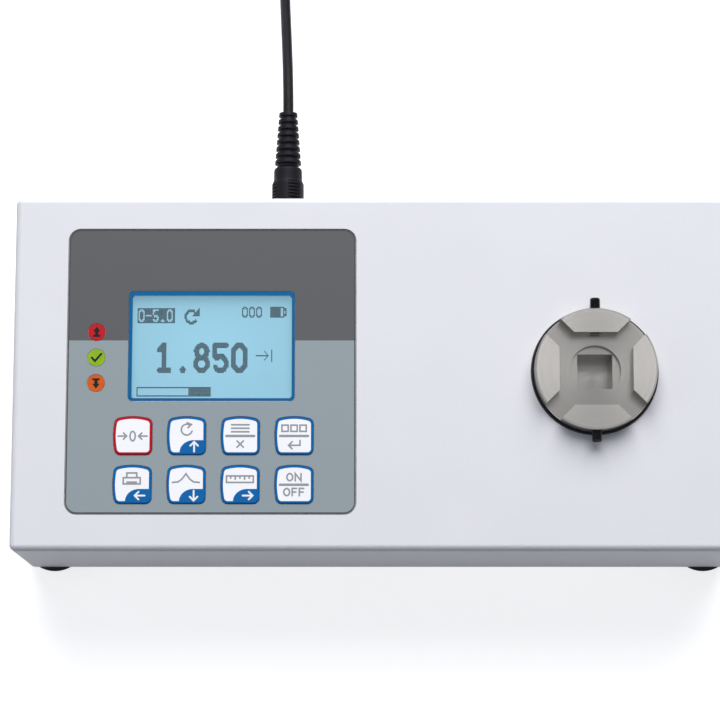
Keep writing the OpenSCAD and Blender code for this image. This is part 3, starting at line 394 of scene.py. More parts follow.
def adapter_pin_metal():
    """Nickel-plated brass pins whose roots are sleeved in black plastic."""
    metal, sleeve, sleeve_l = linear("#C8C5BC"), linear("#1B1B1D"), 10
    made, tree, shader = begin("half_sleeved_plug_pins", metal, 0.25, 1.0)
    root = span("adapter_pins")[0].x
    bare = reckon(tree, "GREATER_THAN", parts(tree, place(tree))["X"], (root + sleeve_l) * MM)
    tree.links.new(blend(tree, bare, sleeve, metal), shader.inputs["Base Color"])
    tree.links.new(bare, shader.inputs["Metallic"])
    vary(tree, shader, grain(tree, 1.2), 0.22, 0.36)
    return made


def make_finishes():
    """Every finish by the name of the material slot or of the print that it serves."""
    colours = bpy.context.scene.tester_colours
    return {
        "powder_coat": powder_coat(), "zinc_steel": zinc_plate(), "black_steel": black_oxide(),
        "nickel_steel": nickel_steel(),
        "tin_steel": plain_metal("stamped_tin_plated_steel", "#C2C2C3", 0.28, 1.5, 4.0, 0.2, 0.4),
        "sensor_alloy": plain_metal("milled_aluminium", "#C6CACF", 0.33, 0.8, 2.0, 0.27, 0.4),
        "rubber": foot_rubber(), "overlay_film": overlay_film(), "window_film": window_film(),
        "lcd": display_glass(), "key_film": printed_ink("blue_screen_ink", list(colours.key_blue)),
        "border_ink": printed_ink("blue_border_ink", list(colours.border_blue)),
        "red_ink": printed_ink("red_screen_ink", list(colours.key_red)),
        "white_film": printed_ink("white_key_film", linear("#FBFBFD"), 0.45),
        "grey_ink": printed_ink("grey_screen_ink", linear("#97999B")),
        "white_ink": printed_ink("white_screen_ink", linear("#F2F5F8")),
        "line_ink": printed_ink("dark_grey_screen_ink", linear("#4A4B4D")),
        "black_ink": printed_ink("black_screen_ink", linear("#141214")),
        "dot_ink": printed_ink("dark_liquid_crystal", linear("#0B3B4A"), 0.5),
        "lamp_red": lens_film("red_lens_film", "#BC0A1B"),
        "lamp_green": lens_film("green_lens_film", "#8CB61A"),
        "lamp_orange": lens_film("orange_lens_film", "#D45B0C"),
        "inner_film": plain_plastic("plain_inner_film", "#EFECE4"),
        "circuit_board": circuit_board(),
        "black_plastic": plain_plastic("moulded_black_nylon", "#1F1F21", 0.5),
        "cell_sleeve": plain_plastic("shrunk_blue_sleeve", "#3F6F9A", 0.3),
        "gauge_film": plain_plastic("amber_polyimide_film", "#D98A2B", 0.35),
        "ribbon": plain_plastic("ribbed_vinyl_ribbon", "#A9A9AB", 0.5),
        "red_wire": plain_plastic("red_vinyl_wire", "#B0241C", 0.4),
        "moulded_plug": moulded_vinyl("moulded_vinyl_plug", "#0D0D15"),
        "lead_jacket": moulded_vinyl("extruded_vinyl_jacket", "#131318", 0.8, 0.44),
        "adapter_plastic": eroded_abs(), "pin_metal": adapter_pin_metal(),
        "strap_weave": strap_weave(),
    }


FINISHES = {}


# Mesh helpers


def new_mesh(name, verts_mm, faces, finish, body=CASE_BODY, replaced=(), smooth=False):
    """A mesh piece from millimetre points, with its finish, its body and the solids that it stands for."""
    mesh = bpy.data.meshes.new(name)
    mesh.from_pydata([Vector(v) * MM for v in verts_mm], [], faces)
    return settle(mesh, name, finish, body, replaced, smooth)


def settle(mesh, name, finish, body=CASE_BODY, replaced=(), smooth=False):
    """Turn a mesh into a piece of the tester."""
    mesh.validate()
    work = bmesh.new()
    work.from_mesh(mesh)
    bmesh.ops.remove_doubles(work, verts=work.verts, dist=1e-7)
    bmesh.ops.recalc_face_normals(work, faces=work.faces)
    work.to_mesh(mesh)
    work.free()
    if smooth:
        mesh.shade_smooth()
        mesh.set_sharp_from_angle(angle=radians(SHARP_DEGREES))
    piece = bpy.data.objects.new(name, mesh)
    bpy.context.scene.collection.objects.link(piece)
    mesh.materials.append(FINISHES[finish])
    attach(piece, body)
    if replaced:
        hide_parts(*replaced)
    return piece


def skin(start, rows, n, faces, closed=False):
    """Join rows of n points each, which follow one another from start; closed joins the last to the first."""
    for i in range(rows if closed else rows - 1):
        here, there = start + i * n, start + (i + 1) % rows * n
        for k in range(n):
            j = (k + 1) % n
            faces.append([here + k, here + j, there + j, there + k])


def lids(start, rows, n, faces):
    """Close the first and the last row of a skin."""
    faces.append([start + k for k in range(n)][::-1])
    faces.append([start + (rows - 1) * n + k for k in range(n)])


def prism(outline, low, high, verts, faces):
    """Add a flat piece with the given outline between two heights."""
    start, n = len(verts), len(outline)
    verts.extend((x, y, z) for z in (low, high) for x, y in outline)
    lids(start, 2, n, faces)
    skin(start, 2, n, faces)


def frame_ring(outer, inner, low, high, verts, faces):
    """Add a flat ring between two outlines with the same number of points."""
    start = len(verts)
    for outline, z in ((outer, low), (outer, high), (inner, high), (inner, low)):
        verts.extend((x, y, z) for x, y in outline)
    skin(start, 4, len(outer), faces, closed=True)


def rounded_box(w, h, r, steps=6):
    """Outline of a rectangle with round corners about the origin."""
    return [point for k, (sx, sy) in enumerate(((1, 1), (-1, 1), (-1, -1), (1, -1)))
            for point in arc(sx * (w / 2 - r), sy * (h / 2 - r), r, r, 90 * k, 90 * k + 90, steps)]


def shifted(outline, x, y):
    """The outline moved."""
    return [(px + x, py + y) for px, py in outline]


def mitres(points, r, closed=False):
    """Every point with the step from it to the left edge of a pen of radius r, where both sides meet."""
    count, steps = len(points), []
    for i, point in enumerate(points):
        p = Vector(point)
        before = (p - Vector(points[i - 1])).normalized() if i or closed else None
        after = (Vector(points[(i + 1) % count]) - p).normalized() if i < count - 1 or closed else None
        n1, n2 = (Vector((-way.y, way.x)) for way in (before or after, after or before))
        mitre = (n1 + n2).normalized()
        steps.append((p, mitre * r / max(mitre.dot(n1), MITRE_LIMIT)))
    return steps


def pen_line(points, width):
    """Outline of a pen stroke of even width, with mitred bends and round ends."""
    r, steps = width / 2, mitres(points, width / 2)
    caps = []
    for tip, before in ((points[-1], points[-2]), (points[0], points[1])):
        base = atan2(tip[1] - before[1], tip[0] - before[0])
        caps.append(arc(*tip, r, r, degrees(base) + 60, degrees(base) - 60, 4))
    left, right = ([tuple(p + side * step) for p, step in steps] for side in (1, -1))
    return left + caps[0] + right[::-1] + caps[1]


def arc(x, y, rx, ry, start, end, steps=24):
    """Points on an ellipse, from one angle to another in degrees."""
    angles = [radians(start + (end - start) * i / steps) for i in range(steps + 1)]
    return [(x + rx * cos(a), y + ry * sin(a)) for a in angles]


def circle(steps):
    """Angles all the way round, in radians."""
    return [2 * pi * k / steps for k in range(steps)]


def draw(strokes, width, origin, low, high, verts, faces):
    """Add pen strokes, each a hair higher than the last; one that ends where it starts becomes a ring."""
    for points in strokes:
        high += HAIR_MM
        if (Vector(points[0]) - Vector(points[-1])).length < 1e-6:
            steps = mitres(points[:-1], width / 2, closed=True)
            sides = [shifted([p + side * step for p, step in steps], *origin) for side in (1, -1)]
            frame_ring(*sides, low, high, verts, faces)
        else:
            prism(shifted(pen_line(points, width), *origin), low, high, verts, faces)


def break_edges(piece, width_mm, segments, angle):
    """Round the edges at which a piece turns by more than an angle in degrees."""
    bevel = piece.modifiers.new("broken_edges", "BEVEL")
    bevel.width, bevel.segments = width_mm * MM, segments
    bevel.limit_method, bevel.angle_limit = "ANGLE", radians(angle)


def bevelled_copy(node, finish, width_mm, segments=2):
    """A copy of a solid with its sharp edges broken, which stands for that solid."""
    source = frame["nodes"][node]
    work = bmesh.new()
    work.from_mesh(source.data)
    work.transform(source.matrix_world)
    bmesh.ops.remove_doubles(work, verts=work.verts, dist=2e-6)
    bmesh.ops.dissolve_limit(work, angle_limit=radians(1.5), verts=work.verts, edges=work.edges)
    mesh = bpy.data.meshes.new(f"{node}_dressed")
    work.to_mesh(mesh)
    work.free()
    body = next(b for b, nodes in frame["record"]["behaviour"]["bodies"].items() if node in nodes)
    piece = settle(mesh, f"{node}_dressed", finish, body, replaced=(node,))
    break_edges(piece, width_mm, segments, 35)
    mesh.shade_smooth()
    even = piece.modifiers.new("even_normals", "WEIGHTED_NORMAL")
    even.weight = 100
    return piece


# Key shapes

KEYS = ("zero", "reset", "menu", "memory", "print", "mode", "units", "power")
PATCHED_KEYS = {"reset": 90, "print": 180, "mode": 270, "units": 0}
RULED_KEYS = ("menu", "memory", "power")
KEY_RULE = [(-5.1, -0.15), (5.1, -0.15)]
KEY_W, KEY_CORNER = 14.2, 2.2
KEY_SIDE_SHARE, KEY_TOP_SHARE = 2.1, 1.5


def key_outline(inset):
    """The outline of a key drawn in by inset: domed at the left and above, round at its corners."""
    w = KEY_W - 2 * inset
    r = KEY_CORNER - inset if inset < KEY_CORNER - 0.4 else 0.4
    half = w / 2 - r
    circles = [((w * KEY_SIDE_SHARE - w / 2, 0), w * KEY_SIDE_SHARE - r),
               ((0, w / 2 - w * KEY_TOP_SHARE), w * KEY_TOP_SHARE - r)]
    core = []
    for a in circle(720):
        way = Vector((cos(a), sin(a)))
        reach = min(half / max(abs(way.x), 1e-9), half / max(abs(way.y), 1e-9))
        for centre, radius in circles:
            c = Vector(centre)
            along = way.dot(c)
            reach = min(reach, along + sqrt(along * along + radius * radius - c.dot(c)))
        core.append(way * reach)
    outline = []
    for a in circle(120):
        way = Vector((cos(a), sin(a)))
        outline.append(tuple(max(core, key=lambda p: p.dot(way)) + way * r))
    return outline


PATCH_X, PATCH_Y, PATCH_RX, PATCH_RY, PATCH_TOP = 2.6, -6.3, 5.1, 4.6, -1.7


def patched_outline(outline):
    """A key face without its lower right corner, which shows the coloured patch."""
    def in_patch(point):
        if point[1] > PATCH_TOP:
            return False
        drop = min(1, max(0, (point[1] - PATCH_Y) / PATCH_RY))
        return point[0] > PATCH_X - PATCH_RX * sqrt(1 - drop * drop)
    kept = [i for i, p in enumerate(outline) if not in_patch(p)]
    gap = next(i for i in range(len(kept)) if (kept[i] - kept[i - 1]) % len(outline) > 1)
    ordered = [outline[i] for i in kept[gap:] + kept[:gap]]
    right, bottom = ordered[0], ordered[-1]
    curve = arc(PATCH_X, PATCH_Y, PATCH_RX, PATCH_RY, 180, 90, 18)
    return ordered + [(curve[0][0], bottom[1])] + curve + [(right[0], PATCH_TOP)]


def arrow(x, y, angle, length, head):
    """Strokes of a plain arrow whose middle is at x, y."""
    way = Vector((cos(radians(angle)), sin(radians(angle))))
    side = Vector((-way.y, way.x))
    tip = Vector((x, y)) + way * length / 2
    tail = Vector((x, y)) - way * length / 2
    back = tip - way * head
    return [[tuple(tail), tuple(tip)], [tuple(back + side * head), tuple(tip), tuple(back - side * head)]]


def box_stroke(x, y, w, h):
    """A closed rectangle as one stroke."""
    return [(x - w / 2, y - h / 2), (x + w / 2, y - h / 2), (x + w / 2, y + h / 2), (x - w / 2, y + h / 2),
            (x - w / 2, y - h / 2)]


def letter_o(x, y, rx=1.05, ry=1.3):
    """A round letter or zero as one stroke."""
    return arc(x, y, rx, ry, 0, 360, 28)


def letter_f(x, y):
    """Strokes of the letter F."""
    return [[(x, y - 1.35), (x, y + 1.35), (x + 1.6, y + 1.35)], [(x, y), (x + 1.35, y)]]


def legend(key):
    """The grey strokes of a key's legend, about the key's middle."""
    if key == "zero":
        return [*arrow(-3.75, -0.2, 0, 3.1, 1.15), *arrow(3.75, -0.2, 180, 3.1, 1.15),
                letter_o(0.0, -0.2, 0.95, 1.75)]
    if key == "reset":
        turn = arc(0.1, 2.2, 2.0, 2.0, 62, 345, 30)
        return [turn, [(0.2, 4.75), (1.75, 4.1), (0.55, 2.9)]]
    if key == "menu":
        bars = [[(-3.2, y), (3.2, y)] for y in (4.0, 2.7, 1.4)]
        return bars + [[(-1.15, -2.0), (1.15, -4.3)], [(-1.15, -4.3), (1.15, -2.0)]]
    if key == "memory":
        cells = [box_stroke(x, 2.7, 2.3, 2.3) for x in (-3.3, 0, 3.3)]
        enter = [[(2.2, -1.8), (2.2, -3.6), (-2.0, -3.6)], [(-0.7, -2.3), (-2.0, -3.6), (-0.7, -4.9)]]
        return cells + enter
    if key == "print":
        return [box_stroke(-0.1, 1.3, 6.2, 2.3), [(-1.9, 2.6), (-1.9, 4.2), (1.7, 4.2), (1.7, 2.6)],
                [(-1.8, 0.8), (1.6, 0.8)]]
    if key == "mode":
        return [[(-4.9, 0.7), (-2.9, 0.9), (-1.5, 1.9), (0, 3.9), (1.4, 1.9), (2.8, 0.9), (4.9, 0.7)]]
    if key == "units":
        ticks = [[(x, 3.0), (x, 1.9 if i % 2 else 2.3)] for i, x in enumerate((-3.4, -1.7, 0, 1.7, 3.4))]
        return [box_stroke(0, 1.9, 9.8, 2.4)] + ticks
    on = [letter_o(-1.5, 2.65), [(0.5, 1.3), (0.5, 4.0), (2.6, 1.3), (2.6, 4.0)]]
    off = [letter_o(-2.6, -2.85)] + letter_f(-0.6, -2.85) + letter_f(2.0, -2.85)
    return on + off


# Display figures


def raster(strokes, pen, columns, rows):
    """Dots of a grid that lie within half a pen of the strokes; points count dots from the lower left."""
    lit = set()
    for column in range(columns):
        for row in range(rows):
            p = Vector((column + 0.5, row + 0.5))
            for points in strokes:
                for a, b in zip(points, points[1:]):
                    start, along = Vector(a), Vector(b) - Vector(a)
                    share = 0 if along.length_squared == 0 else (p - start).dot(along) / along.length_squared
                    if (p - start - along * min(1, max(0, share))).length <= pen / 2:
                        lit.add((column, row))
    return lit


def figure(character, w, h, pen):
    """Dots of a figure that fills w by h dots, drawn with a pen of that width."""
    left, right, low, high = pen / 2, w - pen / 2, pen / 2, h - pen / 2
    x, r, waist = w / 2, (w - pen) / 2, low + (h - pen) * 0.52
    lines = {
        "0": [arc(x, high - r, r, r, 0, 180) + arc(x, low + r, r, r, 180, 360) + [(right, high - r)]],
        "1": [[(w * 0.22, h * 0.76), (w * 0.46, high), (w * 0.52, high), (w * 0.52, low)],
              [(w * 0.22, low), (w * 0.82, low)]],
        "5": [[(right, high), (left + 0.4, high), (left, waist + 0.5)],
              arc(x, low + r * 0.98, r, r * 1.02, 130, -150)],
        "8": [arc(x, (high + waist) / 2, r * 0.92, (high - waist) / 2, 0, 360),
              arc(x, (waist + low) / 2, r, (waist - low) / 2, 0, 360)],
        "-": [[(left, h / 2), (right, h / 2)]],
        ".": [arc(x, low + 0.3, 0.5, 0.5, 0, 360, 8)],
    }[character]
    return raster(lines, pen, round(w), round(h))


# Operators


class CarryFinishes(bpy.types.Operator):
    """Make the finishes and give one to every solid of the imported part"""

    bl_idname = "torque_tester.carry_finishes"
    bl_label = "Finishes on the solids"

    def execute(self, context):
        FINISHES.update(make_finishes())
        special = {"key_zero": "red_ink", "adapter_pins": "pin_metal"}
        for node, piece in frame["nodes"].items():
            piece.data.materials.clear()
            piece.data.materials.append(FINISHES[special.get(node, SLOTS[node])])
        return {"FINISHED"}


class AddCamera(bpy.types.Operator):
    """Add the camera high over the front of the case"""

    bl_idname = "torque_tester.add_camera"
    bl_label = "Camera"

    def execute(self, context):
        # A long lens looks down from a little in front; its slight shift keeps the sides nearly upright.
        lens = bpy.data.cameras.new("camera")
        lens.sensor_width = 36
        lens.lens = 128.6
        lens.shift_y = 0.05
        camera = bpy.data.objects.new("camera", lens)
        camera.location = (-0.00733, -0.16463, 1.0)
        camera.rotation_euler = (radians(9.384), 0, 0)
        context.scene.collection.objects.link(camera)
        context.scene.camera = camera
        context.scene.view_settings.view_transform = "Standard"
        return {"FINISHED"}


LEAD_D = 4.0
TIE_HEIGHT = 3.0
TURN_PITCH = 4.5
LAYER_TURNS = 4.375
CLIMB_TURNS = 0.5
COIL_MID_D = 46.0
COIL_RUN = 29.0
LEAD_REACH, LEAD_DRIFT, LEAD_SINK = 92.0, 3.0, 0.88


def lead_route():
    """Points of the power lead: down to the table, round the coil's two layers, and on to the adapter."""
    high, mid = span("dc_plug_relief")[1:]
    jack, start, height = mid.x, high.y, mid.z
    outer = COIL_MID_D / 2 + TURN_PITCH * LAYER_TURNS / 2
    centre = Vector((jack - LEAD_DRIFT + outer, start + LEAD_REACH + LEAD_D))
    points = []
    for i in range(19):
        t = i / 18
        s = min(1, t / LEAD_SINK)
        ease = s * s * (3 - 2 * s)
        z = height + (TIE_HEIGHT - height) * ease
        points.append((jack - LEAD_DRIFT * ease, start + LEAD_REACH * t, z))
    total = 2 * LAYER_TURNS + CLIMB_TURNS
    steps = round(total * 48)
    half = LAYER_TURNS + CLIMB_TURNS / 2
    for i in range(steps + 1):
        t = i * total / steps
        r = outer - TURN_PITCH * (half - abs(t - half))
        a = 2 * pi * t
        z = TIE_HEIGHT + TURN_PITCH * min(1, max(0, (t - LAYER_TURNS) / CLIMB_TURNS))
        points.append((centre.x - r * cos(a), centre.y + r * sin(a), z))
    for i in range(1, 5):
        points.append((centre.x + COIL_RUN * i / 4, centre.y + outer, TIE_HEIGHT + TURN_PITCH))
    return points


class AddPowerLead(bpy.types.Operator):
    """Add the round power lead with its coil"""

    bl_idname = "torque_tester.add_power_lead"
    bl_label = "Power lead"

    def execute(self, context):
        route = lead_route()
        curve = bpy.data.curves.new("power_lead_run", "CURVE")
        curve.dimensions = "3D"
        curve.bevel_depth = LEAD_D / 2 * MM
        curve.bevel_resolution = 3
        curve.use_fill_caps = True
        line = curve.splines.new("POLY")
        line.points.add(len(route) - 1)
        for point, at in zip(line.points, route):
            point.co = (at[0] * MM, at[1] * MM, at[2] * MM, 1)
        line.use_smooth = True
        lead = bpy.data.objects.new("power_lead_run", curve)
        context.scene.collection.objects.link(lead)
        curve.materials.append(FINISHES["lead_jacket"])
        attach(lead, CASE_BODY)
        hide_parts("power_lead", "power_lead_coil")
        carried = [bpy.data.objects[name] for name in ("coil_strap", "adapter_shell")]
        carried.append(frame["nodes"]["adapter_pins"])
        return {"FINISHED"}


class AddAdapter(bpy.types.Operator):
    """Add the plug-in adapter's moulded shell with its seam, and the strap round the coil"""

    bl_idname = "torque_tester.add_adapter"
    bl_label = "Adapter"

    def execute(self, context):
        self.shell()
        self.strap()
        return {"FINISHED"}

    def shell(self):
        """A case with round edges, a seam behind its face plate, and a ribbed relief for the lead."""
        low, high, mid = span("adapter_body")
        relief_l, plate_l, r, step, seam = 12.0, 2.4, 4.0, 1.0, 0.55
        start, end = low.x + relief_l, high.x
        width, height = high.y - low.y, high.z - low.z
        shoulder = end - plate_l - r
        plate_x = shoulder + sqrt(r * r - (r - step) ** 2)
        angles = [radians(15 * i) for i in range(7)]
        sections = [(start + r - r * cos(a), r - r * sin(a)) for a in angles]
        sections += [(shoulder + r * cos(a), r - r * sin(a)) for a in reversed(angles)
                     if r - r * sin(a) <= step]
        sections += [(plate_x, step), (plate_x + 0.05, step + seam), (plate_x + 0.45, step + seam),
                     (plate_x + 0.5, step), (end - 0.8, step), (end - 0.25, step + 0.2), (end, step + 0.8)]
        verts, faces = [], []
        for x, inset in sections:
            outline = rounded_box(width - 2 * inset, height - 2 * inset, max(0.3, r - inset), 5)
            verts.extend((x, mid.y + a, mid.z + b) for a, b in outline)
        skin(0, len(sections), len(outline), faces)
        lids(0, len(sections), len(outline), faces)
        profile = [(0, 2.4), (0.3, 2.95)]
        for i in range(4):
            x, rib_r = 0.6 + i * 2.7, 3.05 + 0.225 * i
            profile += [(x, rib_r), (x + 1.5, rib_r + 0.12), (x + 1.7, rib_r - 0.4), (x + 2.5, rib_r - 0.34)]
        profile += [(11.2, 3.9), (relief_l + r / 2, 3.95)]
        base, around = len(verts), circle(28)
        centre_z = TIE_HEIGHT + TURN_PITCH
        for x, rib_r in profile:
            verts.extend((low.x + x, mid.y + rib_r * cos(a), centre_z + rib_r * sin(a))
                         for a in around)
        skin(base, len(profile), len(around), faces)
        lids(base, len(profile), len(around), faces)
        new_mesh("adapter_shell", verts, faces, "adapter_plastic", replaced=("adapter_body",), smooth=True)

    def strap(self):
        """A hook-and-loop strap with soft corners, drawn tight round one side of the coil."""
        low, high, mid = span("coil_tie")
        thick, corner = 0.8, 2.8
        w, h = high.x - low.x, high.z - low.z
        verts, faces = [], []
        outer = shifted(rounded_box(w, h, corner), mid.x, mid.z)
        inner = shifted(rounded_box(w - 2 * thick, h - 2 * thick, corner - thick), mid.x, mid.z)
        frame_ring(outer, inner, low.y, high.y, verts, faces)
        verts = [(x, y, z) for x, z, y in verts]
        strap = new_mesh("coil_strap", verts, faces, "strap_weave", replaced=("coil_tie",), smooth=True)
        break_edges(strap, 0.25, 2, 30)


class AddHead(bpy.types.Operator):
    """Add the turned drive head with broken edges, a black rubber bead in the shaded gap round it, and its
    threaded clamp screws
    """

    bl_idname = "torque_tester.add_head"
    bl_label = "Drive head"

    pitch_mm: bpy.props.FloatProperty(
        name="Thread pitch", description="Pitch of the clamp screws in millimetres",
        default=0.7, min=0.5, max=1.0)

    def execute(self, context):
        bevelled_copy("drive_head", "nickel_steel", 0.4, 3)
        self.gap_shade_bead()
        for side, way in (("front", 1), ("rear", -1)):
            self.screw(f"clamp_screw_{side}", f"{side}_screw", way)
        return {"FINISHED"}

    def gap_shade_bead(self):
        """A black rubber bead in the gap round the head: a dark piece put where the gap's shade falls."""
        low, _, mid = span("head_seal")
        top = CASE_HIGH.z
        foot = low.z - top
        # Each point: how far it lies outside the head, and its height over the case top
        profile = [(0.15, foot), (0.15, 0.25), (0.24, 0.4), (0.45, 0.48), (0.7, 0.48), (0.9, 0.36),
                   (1.0, 0.16), (1.0, 0.02), (0.8, 0), (0.8, foot)]
        verts, faces, around = [], [], circle(160)
        for a in around:
            verts.extend((mid.x + (HEAD_R + out) * cos(a), mid.y + (HEAD_R + out) * sin(a), top + up)
                         for out, up in profile)
        skin(0, len(around), len(profile), faces, closed=True)
        # The bead's black stands in for the shade in the gap round the head.
        new_mesh("head_seal_dressed", verts, faces, "rubber", replaced=("head_seal",), smooth=True)

    def screw(self, node, body, way):
        """A set screw with a rolled thread, its outer end towards -way, and a hexagon socket in it."""
        low, high, mid = span(node)
        length, r, depth, chamfer = high.y - low.y, (high.x - low.x) / 2, 0.42, 0.5
        ring, steps = 24, int(length / self.pitch_mm * 8)
        outer = low.y if way > 0 else high.y
        verts, faces = [], []

        def at(radius, angle, along):
            return (mid.x + radius * cos(angle), outer + way * along, mid.z + radius * sin(angle))

        for i in range(steps + 1):
            along = length * i / steps
            limit = r - max(0, chamfer - along) - max(0, chamfer - (length - along))
            for k in range(ring):
                phase = (along / self.pitch_mm - way * k / ring) % 1
                crest = r - depth * abs(2 * phase - 1)
                verts.append(at(min(limit, crest), 2 * pi * k / ring, along))
        skin(0, steps + 1, ring, faces)
        faces.append([steps * ring + k for k in range(ring)])
        rim = len(verts)
        socket_r, socket_deep, slant = 1.15, 2.0, pi / 6
        for along in (0, socket_deep):
            verts.extend(at(socket_r * cos(slant) / cos(a % (2 * slant) - slant), a, along)
                         for a in circle(ring))
        faces.extend([k, rim + k, rim + (k + 1) % ring, (k + 1) % ring] for k in range(ring))
        skin(rim, 2, ring, faces)
        faces.append([rim + ring + k for k in range(ring)])
        new_mesh(f"{node}_threaded", verts, faces, "black_steel", body, (node,), smooth=True)


class AddDisplay(bpy.types.Operator):
    """Add the display's border, its lit dots and its figures"""

    bl_idname = "torque_tester.add_display"
    bl_label = "Display"

    dot_w, dot_h, dot_fill = 0.435, 0.52, 0.95

    def execute(self, context):
        w, h = WINDOW_HIGH.x - WINDOW_LOW.x, WINDOW_HIGH.y - WINDOW_LOW.y
        opening_w, opening_h = 58.8, 38.5
        self.border("window_border", "border_ink", WINDOW_HIGH.z, (
            shifted(rounded_box(w, h, 1.8), WINDOW_MID.x, WINDOW_MID.y),
            shifted(rounded_box(opening_w, opening_h, 0.9), WINDOW_MID.x + 0.15, WINDOW_MID.y - 0.2)))
        low, high, mid = span("front_overlay")
        w, h = high.x - low.x, high.y - low.y
        self.border("panel_keyline", "line_ink", PANEL_TOP, [
            shifted(rounded_box(w - inset, h - inset, PANEL_CORNER - inset / 2), mid.x, mid.y)
            for inset in (0.1, 0.9)])
        self.dots(context.scene.tester_sizes.reading)
        return {"FINISHED"}

    def border(self, name, finish, low, sides):
        """A printed ring between two outlines."""
        verts, faces = [], []
        frame_ring(*sides, low, low + PRINT_MM, verts, faces)
        new_mesh(name, verts, faces, finish)

    def dots(self, reading):
        """Everything that the liquid crystal shows, as raised dots on the glass."""
        left, bottom = WINDOW_LOW.x + 2.84, WINDOW_LOW.y + 2.24
        w, h = self.dot_w * self.dot_fill, self.dot_h * self.dot_fill
        lit = set()

        def put(dots, column, row):
            lit.update((column + c, row + r) for c, r in dots)

        def write(text, column, row, w, h, pen, step):
            for i, character in enumerate(text):
                put(figure(character, w, h, pen), column + i * step, row)

        # A bar that is part filled, the large figures, and a mark where the unit stands
        put(raster([box_stroke(31.5, 3.5, 62, 6)], 1.05, 64, 8), 0, 0)
        put({(c, r) for c in range(44, 63) for r in range(7)}, 0, 0)
        write(reading, 16, 17, 14, 22, 4.1, 16)
        unit = [[(0.5, 4.5), (10.5, 4.5)], [(7, 8), (10.5, 4.5), (7, 1)], [(13.5, 0.5), (13.5, 8.5)]]
        put(raster(unit, 1.1, 15, 10), 101, 25)
        # The range in an inverse box, the turning arrow, a counter and the battery
        box = {(c, r) for c in range(32) for r in range(11)}
        for i, character in enumerate("0-5.0"):
            box -= {(c + 1 + 6 * i, r + 1) for c, r in figure(character, 5, 9, 1.3)}
        put(box, 0, 53)
        put(raster([arc(6, 5.6, 4.9, 4.4, 62, 318, 30)], 2.1, 13, 12), 40, 52)
        put({(c, r) for c in range(6) for r in range(6) if c >= r}, 47, 58)
        write("000", 89, 57, 5, 8, 1.1, 6)
        put({(c, r) for c in range(9) for r in range(8)}, 113, 57)
        put(raster([box_stroke(6, 4, 11, 7), box_stroke(12.5, 4, 2, 4)], 1.05, 14, 8), 113, 57)
        verts, faces = [], []
        for c, r in sorted(lit):
            x, y = left + c * self.dot_w, bottom + r * self.dot_h
            dot = box_stroke(x + w / 2, y + h / 2, w, h)[:-1]
            prism(dot, GLASS_TOP, GLASS_TOP + PRINT_MM, verts, faces)
        new_mesh("display_dots", verts, faces, "dot_ink")


class AddKeyPrinting(bpy.types.Operator):
    """Add the keys' white faces, legends and arrows, which move with the keys"""

    bl_idname = "torque_tester.add_key_printing"
    bl_label = "Key printing"

    def execute(self, context):
        sizes = context.scene.tester_sizes
        rim, pen = sizes.rim / MM, sizes.pen / MM
        for key in KEYS:
            high, mid = span(f"key_{key}")[1:]
            body, middle = f"{key}_key", (mid.x, mid.y)
            top, over, ends = high.z, high.z + PRINT_MM, high.z + 2 * PRINT_MM
            face = key_outline(rim)
            if key in PATCHED_KEYS:
                face = patched_outline(face)
            verts, faces = [], []
            prism(shifted(face, *middle), top, over, verts, faces)
            new_mesh(f"key_{key}_face", verts, faces, "white_film", body)
            verts, faces = [], []
            draw(legend(key), pen, middle, over, ends, verts, faces)
            if key in RULED_KEYS:
                draw([KEY_RULE], pen * 1.5, middle, over, ends, verts, faces)
            new_mesh(f"key_{key}_legend", verts, faces, "grey_ink", body)
            if key in PATCHED_KEYS:
                verts, faces = [], []
                strokes = arrow(2.85, -4.15, PATCHED_KEYS[key], 3.6, 1.4)
                draw(strokes, pen * 1.1, middle, top, over, verts, faces)
                new_mesh(f"key_{key}_arrow", verts, faces, "white_ink", body)
        return {"FINISHED"}


class AddLampSymbols(bpy.types.Operator):
    """Add the black symbols on the three indicators"""

    bl_idname = "torque_tester.add_lamp_symbols"
    bl_label = "Indicator symbols"

    def execute(self, context):
        rise = [(0, 2.1), (1.35, 0.3), (0.62, 0.3), (0.62, -1.0), (1.35, -1.0), (1.35, -1.75)]
        rise += [(-x, y) for x, y in rise[:0:-1]]
        symbols = {"red": rise, "orange": [(-x, -y) for x, y in rise],
                   "green": pen_line([(-1.7, 0.0), (-0.5, -1.3), (1.8, 1.4)], 0.75)}
        for lamp, outline in symbols.items():
            high, mid = span(f"lamp_{lamp}")[1:]
            verts, faces = [], []
            prism(shifted(outline, mid.x, mid.y), high.z, high.z + PRINT_MM, verts, faces)
            new_mesh(f"lamp_{lamp}_symbol", verts, faces, "black_ink")
        return {"FINISHED"}


class AddPlug(bpy.types.Operator):
    """Add the moulded plug and its ribbed strain relief with soft edges"""

    bl_idname = "torque_tester.add_plug"
    bl_label = "Plug"

    def execute(self, context):
        bevelled_copy("dc_plug_grip", "moulded_plug", 0.12)
        bevelled_copy("dc_plug_relief", "moulded_plug", 0.16)
        return {"FINISHED"}


